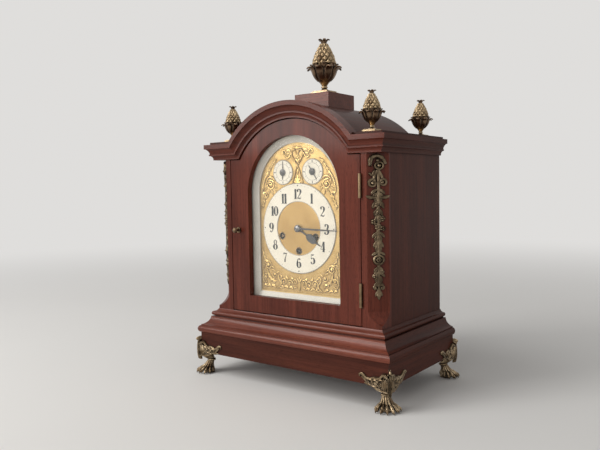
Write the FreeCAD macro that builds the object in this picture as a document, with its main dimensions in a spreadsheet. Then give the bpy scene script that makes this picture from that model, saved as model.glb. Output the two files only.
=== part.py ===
"""Bracket clock: break-arch wooden case on claw feet, hinged doors, arched dial and spring movement.

Frame: X to the viewer's right, Y towards the back, Z up, in millimetres. The origin is on the
surface that the clock stands on, under the middle of its base. Every size is a cell of the sheet.
"""
import FreeCAD
import Part
import Sketcher
import math
import os

SIZES = {
    # case body
    "case_width": 291.2,
    "case_front": 74.6,
    "case_back": 99.2,
    "side_thickness": 12.0,
    "stile_depth": 24.6,
    "chamfer_leg": 21.3,
    "chamfer_stop_low": 104.6,
    "chamfer_stop_high": 121.4,
    "chamfer_stop_radius": 26.0,
    "back_thickness": 12.0,
    "back_stile_width": 25.6,
    # plinth and base moulding
    "plinth_bottom": 32.3,
    "plinth_top": 64.0,
    "plinth_overhang": 20.6,
    "plinth_thickness": 26.0,
    "base_moulding_overhang": 22.0,
    "base_bead_height": 10.0,
    "base_bead_radius": 6.25,
    "base_cove_foot": 20.6,
    "base_cove_top": 9.3,
    "base_cove_height": 12.5,
    "base_cove_radius": 14.0,
    "base_quirk_overhang": 5.6,
    "base_nose_overhang": 7.2,
    "base_nose_height": 5.8,
    "base_nose_radius": 3.4,
    "base_board_thickness": 12.0,
    "body_bottom": 100.0,
    # cornice, arch and roof
    "cornice_bottom": 330.0,
    "cornice_height": 23.4,
    "cornice_overhang": 13.0,
    "fascia_height": 6.6,
    "cornice_cove_top": 11.4,
    "cornice_cove_foot": 6.6,
    "cornice_cove_radius": 9.5,
    "cornice_bead_overhang": 7.6,
    "cornice_bead_height": 2.2,
    "cornice_lower_top": 6.0,
    "cornice_lower_radius": 6.0,
    "cornice_fillet_overhang": 2.8,
    "cornice_fillet_height": 2.4,
    # the arch's centre above the dial's centre
    "arch_centre_height": 43.7,
    "arch_opening_radius": 113.1,
    "arch_strip_depth": 7.0,
    "roof_step": 1.9,
    "roof_thickness": 8.0,
    "deck_thickness": 3.6,
    "deck_overhang": 6.0,
    "block_width": 60.6,
    "block_front": 22.3,
    "block_back": 46.8,
    # the block's top above the crown of the roof
    "block_top": 18.3,
    # front door
    "door_gap": 1.3,
    "door_half_width": 114.4,
    "door_thickness": 16.0,
    "glass_setback": 9.2,
    "glass_thickness": 2.0,
    "aperture_half_width": 81.2,
    "aperture_bottom": 125.5,
    # the aperture's arch centre above the dial's centre
    "aperture_centre_height": 51.7,
    "rebate_width": 3.6,
    "rebate_clearance": 0.2,
    "slip_inner_half_width": 71.6,
    "slip_inner_bottom": 132.0,
    "slip_edge_thickness": 1.2,
    # hinges and door knobs
    "knuckle_radius": 1.9,
    "hinge_pin_radius": 0.9,
    "hinge_standoff": 2.5,
    "leaf_thickness": 1.0,
    "leaf_depth": 12.0,
    "hinge_length": 32.0,
    "lower_hinge_height": 142.6,
    "upper_hinge_height": 287.3,
    "knob_offset": 101.0,
    "knob_height": 223.6,
    "knob_radius": 4.2,
    "knob_projection": 12.0,
    "knob_stem_radius": 2.0,
    "spindle_radius": 1.5,
    "latch_length": 13.0,
    "latch_half_width": 2.2,
    "latch_thickness": 2.0,
    "shaft_clearance": 0.05,
    # back door
    "back_door_half_width": 107.0,
    "back_door_gap": 1.0,
    "back_door_thickness": 10.0,
    "back_door_top": 319.0,
    "back_knob_offset": 98.0,
    "back_knob_projection": 5.4,
    "sound_hole_radius": 6.0,
    "sound_ring_radius": 30.0,
    # dial
    "dial_setback": 16.5,
    "dial_plate_thickness": 2.0,
    "dial_half_width": 76.5,
    "dial_bottom": 127.0,
    "dial_centre_height": 227.3,
    # the dial's arch centre above the dial's centre
    "dial_arch_height": 51.3,
    "mask_thickness": 6.0,
    "mask_clearance": 0.3,
    "chapter_outer_radius": 65.0,
    "chapter_inner_radius": 38.7,
    "chapter_thickness": 1.0,
    "subdial_radius": 17.8,
    "subdial_offset": 26.5,
    # the subdials' centres above the dial's centre
    "subdial_height": 81.1,
    "mount_edge": 70.0,
    "mount_bottom": 134.0,
    "mount_thickness": 1.6,
    # the lower mounts' top below the dial's centre, and the upper mounts' foot above it
    "mount_low_top": 35.3,
    "mount_high_bottom": 34.7,
    "key_hole_radius": 4.5,
    "side_square_offset": 30.1,
    "side_square_drop": 11.6,
    "going_square_drop": 32.6,
    "hour_hand_length": 46.6,
    "hour_hand_angle": 121.4,
    "minute_hand_length": 69.0,
    "minute_hand_angle": 91.5,
    "hand_thickness": 0.6,
    "hand_hub_radius": 5.0,
    "subdial_hand_length": 13.0,
    # movement
    "movement_plate_half_width": 68.0,
    "movement_plate_thickness": 2.5,
    "movement_front": 46.0,
    "movement_depth": 59.5,
    "movement_top": 322.0,
    "seatboard_top": 128.0,
    "seatboard_thickness": 10.0,
    "pillar_radius": 4.0,
    "winding_shaft_radius": 2.5,
    "winding_square": 3.4,
    "centre_shaft_radius": 1.5,
    "train_shaft_radius": 0.9,
    "barrel_radius": 24.0,
    "side_barrel_radius": 26.0,
    "side_wheel_radius": 28.0,
    "third_offset": 19.0,
    "third_rise": 18.3,
    "escape_rise": 33.0,
    "escape_wheel_radius": 14.0,
    "anchor_distance": 19.0,
    "minute_wheel_rise": 24.0,
    "pendulum_length": 165.6,
    "pendulum_setback": 15.0,
    "rod_radius": 1.2,
    "bob_radius": 19.0,
    "bob_thickness": 8.0,
    "bob_clearance": 4.0,
    "hammer_height": 150.0,
    "hammer_setback": 46.0,
    "gong_rod_radius": 1.8,
    "gong_rod_setback": 62.0,
    "gong_rod_height": 92.0,
    "gong_rod_spacing": 8.0,
    # brass furniture
    "finial_setback": 12.2,
    "finial_height": 84.6,
    "finial_radius": 26.0,
    "corner_finial_scale": 0.662,
    "corner_finial_offset": 123.4,
    "corner_finial_front": 57.7,
    "corner_finial_back": 83.0,
    "garland_top": 328.0,
    "garland_bottom": 135.0,
    "garland_half_width": 13.0,
    "garland_thickness": 5.0,
    "foot_offset_x": 155.5,
    "foot_offset_y": 84.5,
    "paw_radius": 17.0,
    "paw_height": 14.0,
    "wing_length": 48.0,
    "wing_thickness": 3.4,
    "wing_bottom": 27.0,
    "wing_top": 47.0,
}

# tooth counts of the going train and of the motion work
GREAT_WHEEL_TEETH = 96
CENTRE_PINION_LEAVES = 12
CENTRE_WHEEL_TEETH = 96
THIRD_PINION_LEAVES = 8
THIRD_WHEEL_TEETH = 98
ESCAPE_PINION_LEAVES = 8
ESCAPE_WHEEL_TEETH = 30
CANNON_PINION_LEAVES = 20
MINUTE_WHEEL_TEETH = 60
MINUTE_PINION_LEAVES = 15
HOUR_WHEEL_TEETH = 60
HAMMER_COUNT = 3
SOUND_HOLE_COUNT = 8

X_AXIS = FreeCAD.Vector(1, 0, 0)
Y_AXIS = FreeCAD.Vector(0, 1, 0)
Z_AXIS = FreeCAD.Vector(0, 0, 1)

doc = FreeCAD.newDocument("BracketClock")


class Size:
    """A length that knows both its value and the sheet formula that it comes from."""

    def __init__(self, value, formula):
        self.value = float(value)
        self.formula = formula

    @staticmethod
    def of(thing):
        return thing if isinstance(thing, Size) else Size(thing, repr(float(thing)))

    def combine(self, other, sign, value):
        return Size(value, f"({self.formula} {sign} {other.formula})")

    def __add__(self, other):
        other = Size.of(other)
        return self.combine(other, "+", self.value + other.value)

    def __sub__(self, other):
        other = Size.of(other)
        return self.combine(other, "-", self.value - other.value)

    def __mul__(self, other):
        other = Size.of(other)
        return self.combine(other, "*", self.value * other.value)

    def __truediv__(self, other):
        other = Size.of(other)
        return self.combine(other, "/", self.value / other.value)

    def __radd__(self, other):
        return Size.of(other) + self

    def __rsub__(self, other):
        return Size.of(other) - self

    def __rmul__(self, other):
        return Size.of(other) * self

    def __neg__(self):
        return Size(-self.value, f"(0 - {self.formula})")


def root(size):
    return Size(math.sqrt(size.value), f"sqrt({size.formula})")


class Sheet:
    """Gives each driving dimension as an attribute."""

    def __init__(self, sizes):
        self.cells = doc.addObject("Spreadsheet::Sheet", "Sizes")
        for row, (alias, value) in enumerate(sizes.items(), start=1):
            self.cells.set(f"A{row}", alias)
            self.cells.set(f"B{row}", str(value))
            self.cells.setAlias(f"B{row}", alias)
            setattr(self, alias, Size(value, f"Sizes.{alias}"))
        doc.recompute()


s = Sheet(SIZES)


# ---------------------------------------------------------------- shape helpers

def bind(item, path, size):
    item.setExpression(path, Size.of(size).formula)


def place(item, x=0.0, y=0.0, z=0.0, rotation=None):
    if rotation is not None:
        item.Placement = FreeCAD.Placement(FreeCAD.Vector(), rotation)
    bind(item, "Placement.Base.x", x)
    bind(item, "Placement.Base.y", y)
    bind(item, "Placement.Base.z", z)
    return item


def box(label, x, y, z):
    """A box between the low and high values of each pair."""
    item = doc.addObject("Part::Box", label)
    bind(item, "Length", x[1] - Size.of(x[0]))
    bind(item, "Width", y[1] - Size.of(y[0]))
    bind(item, "Height", z[1] - Size.of(z[0]))
    return place(item, x[0], y[0], z[0])


AXIS_TURN = {
    "X": FreeCAD.Rotation(Y_AXIS, 90),
    "Y": FreeCAD.Rotation(X_AXIS, -90),
    "Z": FreeCAD.Rotation(),
}


def rod(label, axis, start, radius, length):
    """A cylinder from its start point along +X, +Y or +Z."""
    item = doc.addObject("Part::Cylinder", label)
    bind(item, "Radius", radius)
    bind(item, "Height", length)
    return place(item, *start, rotation=AXIS_TURN[axis])


def cone(label, axis, start, first_radius, last_radius, length):
    item = doc.addObject("Part::Cone", label)
    bind(item, "Radius1", first_radius)
    bind(item, "Radius2", last_radius)
    bind(item, "Height", length)
    return place(item, *start, rotation=AXIS_TURN[axis])


def ball(label, centre, radii):
    item = doc.addObject("Part::Ellipsoid", label)
    item.Angle1 = -90
    item.Angle2 = 90
    bind(item, "Radius1", radii[2])
    bind(item, "Radius2", radii[0])
    bind(item, "Radius3", radii[1])
    return place(item, *centre)


def fuse(label, pieces):
    item = doc.addObject("Part::MultiFuse", label)
    item.Shapes = pieces
    return item


def cut(label, base, tools):
    item = doc.addObject("Part::Cut", label)
    item.Base = base
    item.Tool = tools[0] if len(tools) == 1 else fuse(label + "_tools", tools)
    return item


def common(label, base, tool):
    item = doc.addObject("Part::Common", label)
    item.Base = base
    item.Tool = tool
    return item


def mirrored(label, source):
    item = doc.addObject("Part::Mirroring", label)
    item.Source = source
    item.Normal = X_AXIS
    return item


def group(label, pieces):
    """Separate solids that share one node."""
    item = doc.addObject("Part::Compound", label)
    item.Links = pieces
    return item


def arc_between(first, last, radius):
    """The arc between two points; a positive radius turns anticlockwise from first to last."""
    start, end = (first, last) if radius > 0 else (last, first)
    run = end - start
    half = run.Length / 2
    across = FreeCAD.Vector(-run.y, run.x, 0).normalize()
    centre = (start + end) * 0.5 + across * math.sqrt(radius * radius - half * half)
    start_turn = math.atan2(start.y - centre.y, start.x - centre.x)
    end_turn = math.atan2(end.y - centre.y, end.x - centre.x)
    if end_turn < start_turn:
        end_turn += 2 * math.pi
    circle = Part.Circle(centre, Z_AXIS, abs(radius))
    return Part.ArcOfCircle(circle, start_turn, end_turn)


def add_outline(sketch, points):
    """Close a loop of (across, up) or (across, up, arc radius) points and bind every point."""
    spots = [FreeCAD.Vector(Size.of(p[0]).value, Size.of(p[1]).value, 0) for p in points]
    first_edge = sketch.GeometryCount
    for index, point in enumerate(points):
        start, end = spots[index - 1], spots[index]
        if len(point) > 2:
            radius = Size.of(point[2]).value
            shape = arc_between(start, end, radius)
        else:
            shape = Part.LineSegment(start, end)
        sketch.addGeometry(shape, False)
    ends = []
    for index in range(len(points)):
        edge = sketch.Geometry[first_edge + index]
        forward = (edge.EndPoint - spots[index]).Length <= (edge.StartPoint - spots[index]).Length
        ends.append((1, 2) if forward else (2, 1))
    rules = []
    driven = []
    for index, point in enumerate(points):
        edge = first_edge + index
        following = (index + 1) % len(points)
        rules.append(Sketcher.Constraint(
            "Coincident", edge, ends[index][1], first_edge + following, ends[following][0]))
        for kind, size in (("DistanceX", point[0]), ("DistanceY", point[1])):
            size = Size.of(size)
            driven.append((len(rules), size.formula))
            rules.append(Sketcher.Constraint(kind, -1, 1, edge, ends[index][1], size.value))
        if len(point) > 2:
            size = Size.of(point[2])
            driven.append((len(rules), f"abs({size.formula})"))
            rules.append(Sketcher.Constraint("Radius", edge, abs(size.value)))
    first_rule = sketch.ConstraintCount
    sketch.addConstraint(rules)
    for number, formula in driven:
        sketch.setExpression(f"Constraints[{first_rule + number}]", formula)


def new_sketch(body, name, plane, offset=0.0):
    sketch = body.newObject("Sketcher::SketchObject", name)
    role = plane + "_Plane"
    planes = [feature for feature in body.Origin.OriginFeatures if feature.Role == role]
    sketch.AttachmentSupport = [(planes[0], "")]
    sketch.MapMode = "FlatFace"
    bind(sketch, "AttachmentOffset.Base.z", offset)
    return sketch


def prism(label, plane, outline, near, far):
    """A padded outline between two positions along its plane's axis (X, Y or Z)."""
    body = doc.addObject("PartDesign::Body", label)
    near, far = Size.of(near), Size.of(far)
    offset = -far if plane == "XZ" else near
    sketch = new_sketch(body, label + "_outline", plane, offset)
    add_outline(sketch, outline)
    pad = body.newObject("PartDesign::Pad", label + "_pad")
    pad.Profile = (sketch, [""])
    bind(pad, "Length", far - near)
    body.Tip = pad
    return body


def turning(label, outline, plane="XZ", axis="V_Axis", rise=0.0):
    """An outline of (radius, height) points turned about its own upright or level axis."""
    body = doc.addObject("PartDesign::Body", label)
    sketch = new_sketch(body, label + "_outline", plane)
    bind(sketch, "AttachmentOffset.Base.y", rise)
    add_outline(sketch, outline)
    spin = body.newObject("PartDesign::Revolution", label + "_turn")
    spin.Profile = (sketch, [""])
    spin.ReferenceAxis = (sketch, [axis])
    spin.Angle = 360
    body.Tip = spin
    return body


# ---------------------------------------------------------------- shared places

half_width = s.case_width / 2
front_face = -s.case_front
back_face = s.case_back
carcass_bottom = s.plinth_top + s.base_board_thickness
cornice_top = s.cornice_bottom + s.cornice_height
stile_back = front_face + s.stile_depth
side_inner = half_width - s.side_thickness
stile_inner = s.door_half_width + s.door_gap
arch_outer_radius = s.arch_opening_radius + s.cornice_height
roof_radius = arch_outer_radius - s.roof_step
roof_inner_radius = roof_radius - s.roof_thickness
deck_top = cornice_top + s.deck_thickness
dial_arch_z = s.dial_centre_height + s.dial_arch_height
subdial_z = s.dial_centre_height + s.subdial_height
aperture_z = s.dial_centre_height + s.aperture_centre_height
arch_z = s.dial_centre_height + s.arch_centre_height
block_top = arch_z + roof_radius + s.block_top
mitre_reach = 40.0


def arched(label, half, bottom, centre, y, radius=None):
    """A round-topped slab between two Y positions."""
    upright = box(label + "_square", (-half, half), y, (bottom, centre))
    depth = y[1] - Size.of(y[0])
    top = rod(label + "_round", "Y", (0, y[0], centre), radius or half, depth)
    return fuse(label, [upright, top])


# ---------------------------------------------------------------- base of the case

front_wedge = prism("front_mitre_wedge", "XY", [
    (-half_width - mitre_reach, front_face - mitre_reach),
    (half_width + mitre_reach, front_face - mitre_reach),
    (half_width - mitre_reach, front_face + mitre_reach),
    (-half_width + mitre_reach, front_face + mitre_reach),
], s.plinth_bottom - mitre_reach, cornice_top + mitre_reach)


def mitred(label, along_front, along_side, names):
    """Split a run round the front corners at its 45 degree mitres."""
    front_name, side_name = names
    front_piece = common(front_name, along_front, front_wedge)
    right = cut(label + "_right_run", along_side, [front_wedge])
    return front_piece, group(side_name, [right, mirrored(label + "_left_run", right)])


def build_plinth():
    outer = half_width + s.plinth_overhang
    inner = outer - s.plinth_thickness
    front_outer = front_face - s.plinth_overhang
    front_inner = front_outer + s.plinth_thickness
    height = (s.plinth_bottom, s.plinth_top)
    front_run = box("plinth_front_run", (-outer, outer), (front_outer, front_inner), height)
    side_run = box("plinth_side_run", (inner, outer), (front_outer, back_face), height)
    back_inner = back_face - s.plinth_thickness / 2
    back = box("plinth_back", (-inner, inner), (back_inner, back_face), height)
    return [*mitred("plinth", front_run, side_run, ("plinth_front", "plinth_sides")), back]


def base_profile(across, sign):
    """Base moulding section: bead, long cove, quirk and nose; across runs outwards from a face."""
    def out(size):
        return across + sign * Size.of(size)

    bead_top = s.plinth_top + s.base_bead_height
    cove_foot = bead_top + 1.6
    cove_top = cove_foot + s.base_cove_height
    nose_bottom = cove_top + 1.6
    nose_top = nose_bottom + s.base_nose_height
    return [
        (out(0), s.plinth_top),
        (out(s.base_moulding_overhang), s.plinth_top),
        (out(s.base_moulding_overhang), bead_top, sign * s.base_bead_radius),
        (out(s.base_cove_foot), bead_top),
        (out(s.base_cove_foot), cove_foot),
        (out(s.base_cove_top), cove_top, -sign * s.base_cove_radius),
        (out(s.base_quirk_overhang), cove_top),
        (out(s.base_quirk_overhang), nose_bottom),
        (out(s.base_nose_overhang), nose_bottom),
        (out(s.base_nose_overhang), nose_top, sign * s.base_nose_radius),
        (out(s.base_quirk_overhang), nose_top),
        (out(0.6), s.body_bottom, -sign * s.base_nose_radius * 2),
        (out(0), s.body_bottom),
    ]


def build_base_moulding():
    reach = half_width + mitre_reach
    front_run = prism("base_moulding_front_run", "YZ", base_profile(front_face, -1),
                      -reach, reach)
    side_run = prism("base_moulding_side_run", "XZ", base_profile(half_width, 1),
                     front_face - mitre_reach, back_face)
    names = ("base_moulding_front", "base_moulding_sides")
    return mitred("base_moulding", front_run, side_run, names)


def build_base_board():
    """The board under the movement, notched where a long pendulum would reach it."""
    board = box("base_board_solid", (-half_width, half_width), (front_face, back_face),
                (s.plinth_top, carcass_bottom))
    deep = s.bob_thickness / 2 + s.bob_clearance
    well = box("pendulum_well", (-s.bob_radius * 2, s.bob_radius * 2),
               (pendulum_y - deep, pendulum_y + deep), (bob_foot - s.bob_clearance, bob_z))
    return [cut("base_board", board, [well])]


# ---------------------------------------------------------------- hinges

class HingeLine:
    """Two butt hinges on one upright line; the frame is on the +X side of it."""

    def __init__(self, name, face, outward, gap, door_edge, heights):
        self.name = name
        self.face = face
        self.outward = outward
        self.gap = gap
        self.door_edge = door_edge
        self.heights = heights
        self.x = door_edge + gap / 2
        self.y = face + outward * s.hinge_standoff

    def span(self, height):
        return height - s.hinge_length / 2, height + s.hinge_length / 2

    def depth(self, start):
        ends = [start, self.face - self.outward * s.leaf_depth]
        return ends if self.outward < 0 else ends[::-1]

    def leaf(self, label, fixed, height, clearance=0.0):
        if fixed:
            low = self.door_edge + self.gap
            across = (low, low + s.leaf_thickness)
        else:
            across = (self.door_edge - s.leaf_thickness, self.door_edge)
        return box(label, across, self.depth(self.face + self.outward * clearance),
                   self.span(height))

    def knuckle(self, label, fixed, low, high):
        """A hinge knuckle with the tab that joins it to its leaf."""
        barrel = rod(label + "_barrel", "Z", (self.x, self.y, low), s.knuckle_radius, high - low)
        edge = self.door_edge + self.gap if fixed else self.door_edge
        thick = s.leaf_thickness if fixed else -s.leaf_thickness
        across = (edge, edge + thick) if fixed else (edge + thick, edge)
        tab_ends = [self.y, self.face - self.outward * 1.0]
        tab = box(label + "_tab", across, tab_ends if self.outward < 0 else tab_ends[::-1],
                  (low, high))
        return [barrel, tab]

    def frame_half(self, index, height):
        low, high = self.span(height)
        third = s.hinge_length / 3
        name = f"{self.name}_frame_hinge_{index}"
        pieces = [self.leaf(name + "_leaf", True, height)]
        pieces += self.knuckle(name + "_low", True, low, low + third)
        pieces += self.knuckle(name + "_high", True, high - third, high)
        pieces.append(rod(name + "_pin", "Z", (self.x, self.y, low), s.hinge_pin_radius,
                          s.hinge_length))
        return fuse(name, pieces)

    def door_half(self, index, height):
        low, high = self.span(height)
        third = s.hinge_length / 3
        play = 0.15
        name = f"{self.name}_door_hinge_{index}"
        solid = fuse(name + "_solid", [
            self.leaf(name + "_leaf", False, height),
            *self.knuckle(name + "_middle", False, low + third + play, high - third - play)])
        bore = rod(name + "_bore", "Z", (self.x, self.y, low),
                   s.hinge_pin_radius + s.shaft_clearance, s.hinge_length)
        return cut(name, solid, [bore])

    def frame_halves(self):
        return [self.frame_half(i, height) for i, height in enumerate(self.heights)]

    def door_halves(self):
        return [self.door_half(i, height) for i, height in enumerate(self.heights)]

    def pockets(self, fixed):
        side = "frame" if fixed else "door"
        return [self.leaf(f"{self.name}_{side}_pocket_{i}", fixed, height)
                for i, height in enumerate(self.heights)]


front_hinges = HingeLine("front", front_face, -1, s.door_gap, s.door_half_width,
                         [s.lower_hinge_height, s.upper_hinge_height])
back_door_face = back_face - 1.0
back_hinges = HingeLine("back", back_face, 1, s.back_door_gap, s.back_door_half_width,
                        [s.lower_hinge_height, s.upper_hinge_height])


# ---------------------------------------------------------------- carcass

def front_stile(label):
    """Right-hand front stile: square post with its corner chamfered down to a hollow stop."""
    post = box(label + "_post", (stile_inner, half_width), (front_face, stile_back),
               (carcass_bottom, s.cornice_bottom))
    depth = s.chamfer_leg / math.sqrt(2)
    wide = s.chamfer_leg * 2
    cutter = doc.addObject("PartDesign::Body", label + "_chamfer")
    sketch = new_sketch(cutter, label + "_chamfer_outline", "YZ", -wide)
    add_outline(sketch, [
        (-depth, s.cornice_bottom + 1.0),
        (-depth, s.chamfer_stop_high),
        (0, s.chamfer_stop_low, s.chamfer_stop_radius),
        (wide, s.chamfer_stop_low),
        (wide, s.cornice_bottom + 1.0),
    ])
    pad = cutter.newObject("PartDesign::Pad", label + "_chamfer_pad")
    pad.Profile = (sketch, [""])
    bind(pad, "Length", wide * 2)
    cutter.Tip = pad
    place(cutter, half_width, front_face, 0, FreeCAD.Rotation(Z_AXIS, -135))
    return post, cutter


def build_carcass():
    post, cutter = front_stile("stile")
    right = cut("front_stile_right", post, [cutter, *front_hinges.pockets(True)])
    plain = cut("stile_plain", post, [cutter])
    left = mirrored("front_stile_left", plain)
    rail = box("front_bottom_rail", (-stile_inner, stile_inner), (front_face, stile_back),
               (carcass_bottom, s.body_bottom))
    sides = []
    for name, low, high in (("left", -half_width, -side_inner), ("right", side_inner, half_width)):
        sides.append(box(f"case_side_{name}", (low, high), (stile_back, back_face),
                         (carcass_bottom, cornice_top)))
    head_y = (front_face, stile_back)
    head_square = box("arch_head_square", (-half_width, half_width), head_y,
                      (s.cornice_bottom, cornice_top))
    head_round = rod("arch_head_round", "Y", (0, front_face, arch_z),
                     roof_inner_radius, s.stile_depth)
    below = box("arch_head_below", (-half_width * 2, half_width * 2), head_y,
                (0, s.cornice_bottom))
    opening = rod("arch_head_opening", "Y", (0, front_face, arch_z),
                  s.arch_opening_radius, s.stile_depth)
    head = cut("arch_head", fuse("arch_head_solid", [head_square, head_round]),
               [below, opening])
    return [left, right, rail, *sides, head]


def build_back():
    y = (back_face - s.back_thickness, back_face)
    edge = side_inner - s.back_stile_width
    head_bottom = s.back_door_top + s.back_door_gap
    stile_z = (carcass_bottom, head_bottom)
    left = box("back_stile_left", (-side_inner, -edge), y, stile_z)
    right = cut("back_stile_right", box("back_stile_right_board", (edge, side_inner), y, stile_z),
                back_hinges.pockets(True))
    rail = box("back_rail", (-edge, edge), y, (carcass_bottom, s.body_bottom))
    square = box("back_head_square", (-side_inner, side_inner), y, (head_bottom, cornice_top))
    dome = rod("back_head_round", "Y", (0, y[0], arch_z), roof_inner_radius,
               s.back_thickness)
    below = box("back_head_below", (-half_width * 2, half_width * 2), y, (0, head_bottom))
    head = cut("back_head", fuse("back_head_solid", [square, dome]), [below])
    return [group("back_frame", [left, right, rail, head])]


# ---------------------------------------------------------------- cornice and roof

def cornice_profile(across, sign, low, strip=False):
    """Cornice section: fascia, cove, bead, lower cove and fillet, rising from low."""
    def out(size):
        return across + sign * Size.of(size)

    top = low + s.cornice_height
    fascia_foot = top - s.fascia_height
    fillet_top = low + s.cornice_fillet_height
    bead_foot = fillet_top + 4.2
    bead_top = bead_foot + s.cornice_bead_height
    points = [
        (out(0), low),
        (out(s.cornice_fillet_overhang), low),
        (out(s.cornice_fillet_overhang), fillet_top),
        (out(s.cornice_lower_top), bead_foot, -sign * s.cornice_lower_radius),
        (out(s.cornice_bead_overhang), bead_foot),
        (out(s.cornice_bead_overhang), bead_top),
        (out(s.cornice_cove_foot), bead_top),
        (out(s.cornice_cove_top), fascia_foot, -sign * s.cornice_cove_radius),
        (out(s.cornice_overhang), fascia_foot),
        (out(s.cornice_overhang), top),
    ]
    if strip:
        step = top - s.roof_step
        return points + [(out(-s.arch_strip_depth), top), (out(-s.arch_strip_depth), step),
                         (out(0), step)]
    return points + [(out(0), top)]


def build_cornice():
    rise = s.cornice_bottom - arch_z
    top_rise = cornice_top - arch_z
    inner_x = root(s.arch_opening_radius * s.arch_opening_radius - rise * rise)
    outer_x = root(arch_outer_radius * arch_outer_radius - top_rise * top_rise)
    lean = (outer_x - inner_x) / s.cornice_height
    below = s.cornice_bottom - mitre_reach
    above = arch_z + arch_outer_radius + mitre_reach
    low_x = inner_x - lean * mitre_reach
    high_x = inner_x + lean * (above - s.cornice_bottom)
    y = (front_face - mitre_reach, front_face + mitre_reach)
    sector = prism("arch_sector", "XZ", [
        (-low_x, below), (low_x, below), (high_x, above), (-high_x, above)], *y)
    ring_low = prism("arch_sector_floor", "XZ", [
        (-half_width, below), (half_width, below), (half_width, s.cornice_bottom),
        (-half_width, s.cornice_bottom)], *y)
    ring = turning("cornice_arch_ring",
                   cornice_profile(front_face, -1, s.arch_opening_radius, strip=True),
                   plane="YZ", axis="H_Axis", rise=arch_z)
    behind = box("cornice_arch_strip_ends", (-half_width, half_width),
                 (front_face, front_face + s.arch_strip_depth), (below, cornice_top))
    arch = cut("cornice_arch", common("cornice_arch_sector", ring, sector), [ring_low, behind])

    reach = half_width + mitre_reach
    front_run = prism("cornice_front_run", "YZ",
                      cornice_profile(front_face, -1, s.cornice_bottom), 0, reach)
    shoulder_run = cut("cornice_shoulder_run", front_run, [sector])
    shoulder = common("cornice_shoulder_right", shoulder_run, front_wedge)
    shoulders = group("cornice_shoulders",
                      [shoulder, mirrored("cornice_shoulder_left", shoulder)])
    side_run = prism("cornice_side_run", "XZ", cornice_profile(half_width, 1, s.cornice_bottom),
                     front_face - mitre_reach, back_face)
    side = cut("cornice_side_right", side_run, [front_wedge])
    sides = group("cornice_sides", [side, mirrored("cornice_side_left", side)])
    return [arch, shoulders, sides]


def build_roof():
    depth = back_face - front_face
    start = (0, front_face, arch_z)
    shell = cut("roof_shell", rod("roof_outside", "Y", start, roof_radius, depth),
                [rod("roof_inside", "Y", start, roof_inner_radius, depth)])
    below = box("roof_below", (-half_width * 2, half_width * 2), (front_face, back_face),
                (0, cornice_top))
    roof = cut("roof_barrel", shell, [below])
    deck_front = front_face - s.deck_overhang
    board = box("deck_board", (0, half_width + s.deck_overhang), (deck_front, back_face),
                (cornice_top, deck_top))
    scribe = rod("deck_scribe", "Y", (0, deck_front, arch_z), roof_radius,
                 back_face - deck_front)
    front_scribe = rod("deck_front_scribe", "Y", (0, deck_front, arch_z),
                       arch_outer_radius, s.deck_overhang + s.arch_strip_depth)
    deck = cut("top_deck_right", board, [scribe, front_scribe])
    decks = group("top_decks", [deck, mirrored("top_deck_left", deck)])
    half_block = s.block_width / 2
    block = cut("finial_block",
                box("finial_block_solid", (-half_block, half_block),
                    (-s.block_front, s.block_back), (arch_z, block_top)),
                [rod("finial_block_scribe", "Y", (0, -s.block_front, arch_z),
                     roof_radius, s.block_front + s.block_back)])
    return [roof, decks, block]


# ---------------------------------------------------------------- doors

def knob(name, x, z, face, inner_face, outward, arm_gap, projection):
    """A turning knob whose spindle passes through a door to a hanging latch arm."""
    back = -outward
    tip = face + outward * projection
    arm_near = inner_face + back * arm_gap
    arm_far = arm_near + back * s.latch_thickness

    def along(label, start, end, radius):
        low, high = (start, end) if outward < 0 else (end, start)
        return rod(label, "Y", (x, low, z), radius, high - low)

    head_depth = projection * 0.28
    head_centre = tip - outward * head_depth
    head = ball(name + "_head", (x, head_centre, z), (s.knob_radius, head_depth, s.knob_radius))
    stem = along(name + "_stem", head_centre, face, s.knob_stem_radius)
    rose = along(name + "_rose", face + outward * 1.6, face, s.knob_radius)
    spindle = along(name + "_spindle", face, arm_far, s.spindle_radius)
    ends = (arm_near, arm_far) if outward < 0 else (arm_far, arm_near)
    arm = box(name + "_arm", (x - s.latch_half_width, x + s.latch_half_width), ends,
              (z - s.latch_length, z + s.latch_half_width))
    return fuse(name, [head, stem, rose, spindle, arm])


door_back = front_face + s.door_thickness
glass_front = front_face + s.glass_setback
glass_back = glass_front + s.glass_thickness
dial_front = front_face + s.dial_setback
dial_back = dial_front + s.dial_plate_thickness
mask_back = dial_front + s.mask_thickness
door_bottom = s.body_bottom + s.door_gap
door_arch_radius = s.arch_opening_radius - s.door_gap
rebate_half = s.aperture_half_width + s.rebate_width
pane_half = rebate_half - s.rebate_clearance


def build_front_door():
    y = (front_face, door_back)
    square = box("door_square", (-s.door_half_width, s.door_half_width), y,
                 (door_bottom, s.cornice_bottom - s.door_gap))
    dome = rod("door_round", "Y", (0, front_face, arch_z), door_arch_radius,
               s.door_thickness)
    aperture = arched("door_aperture", s.aperture_half_width, s.aperture_bottom,
                      aperture_z, y)
    rebate = arched("door_rebate", rebate_half, s.aperture_bottom - s.rebate_width,
                    aperture_z, (glass_front, door_back))
    spindle_hole = rod("door_spindle_hole", "Y", (-s.knob_offset, front_face, s.knob_height),
                       s.spindle_radius + s.shaft_clearance, s.door_thickness)
    frame = cut("door_frame", fuse("door_solid", [square, dome]),
                [aperture, rebate, spindle_hole, *front_hinges.pockets(False)])
    pane_bottom = s.aperture_bottom - s.rebate_width + s.rebate_clearance
    glass = arched("door_glass", pane_half, pane_bottom, aperture_z,
                   (glass_front, glass_back))
    slip = build_slip(pane_bottom)
    handle = knob("door_knob", -s.knob_offset, s.knob_height, front_face, door_back, -1,
                  mask_back - door_back + 0.3, s.knob_projection)
    return [frame, glass, slip, handle]


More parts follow.
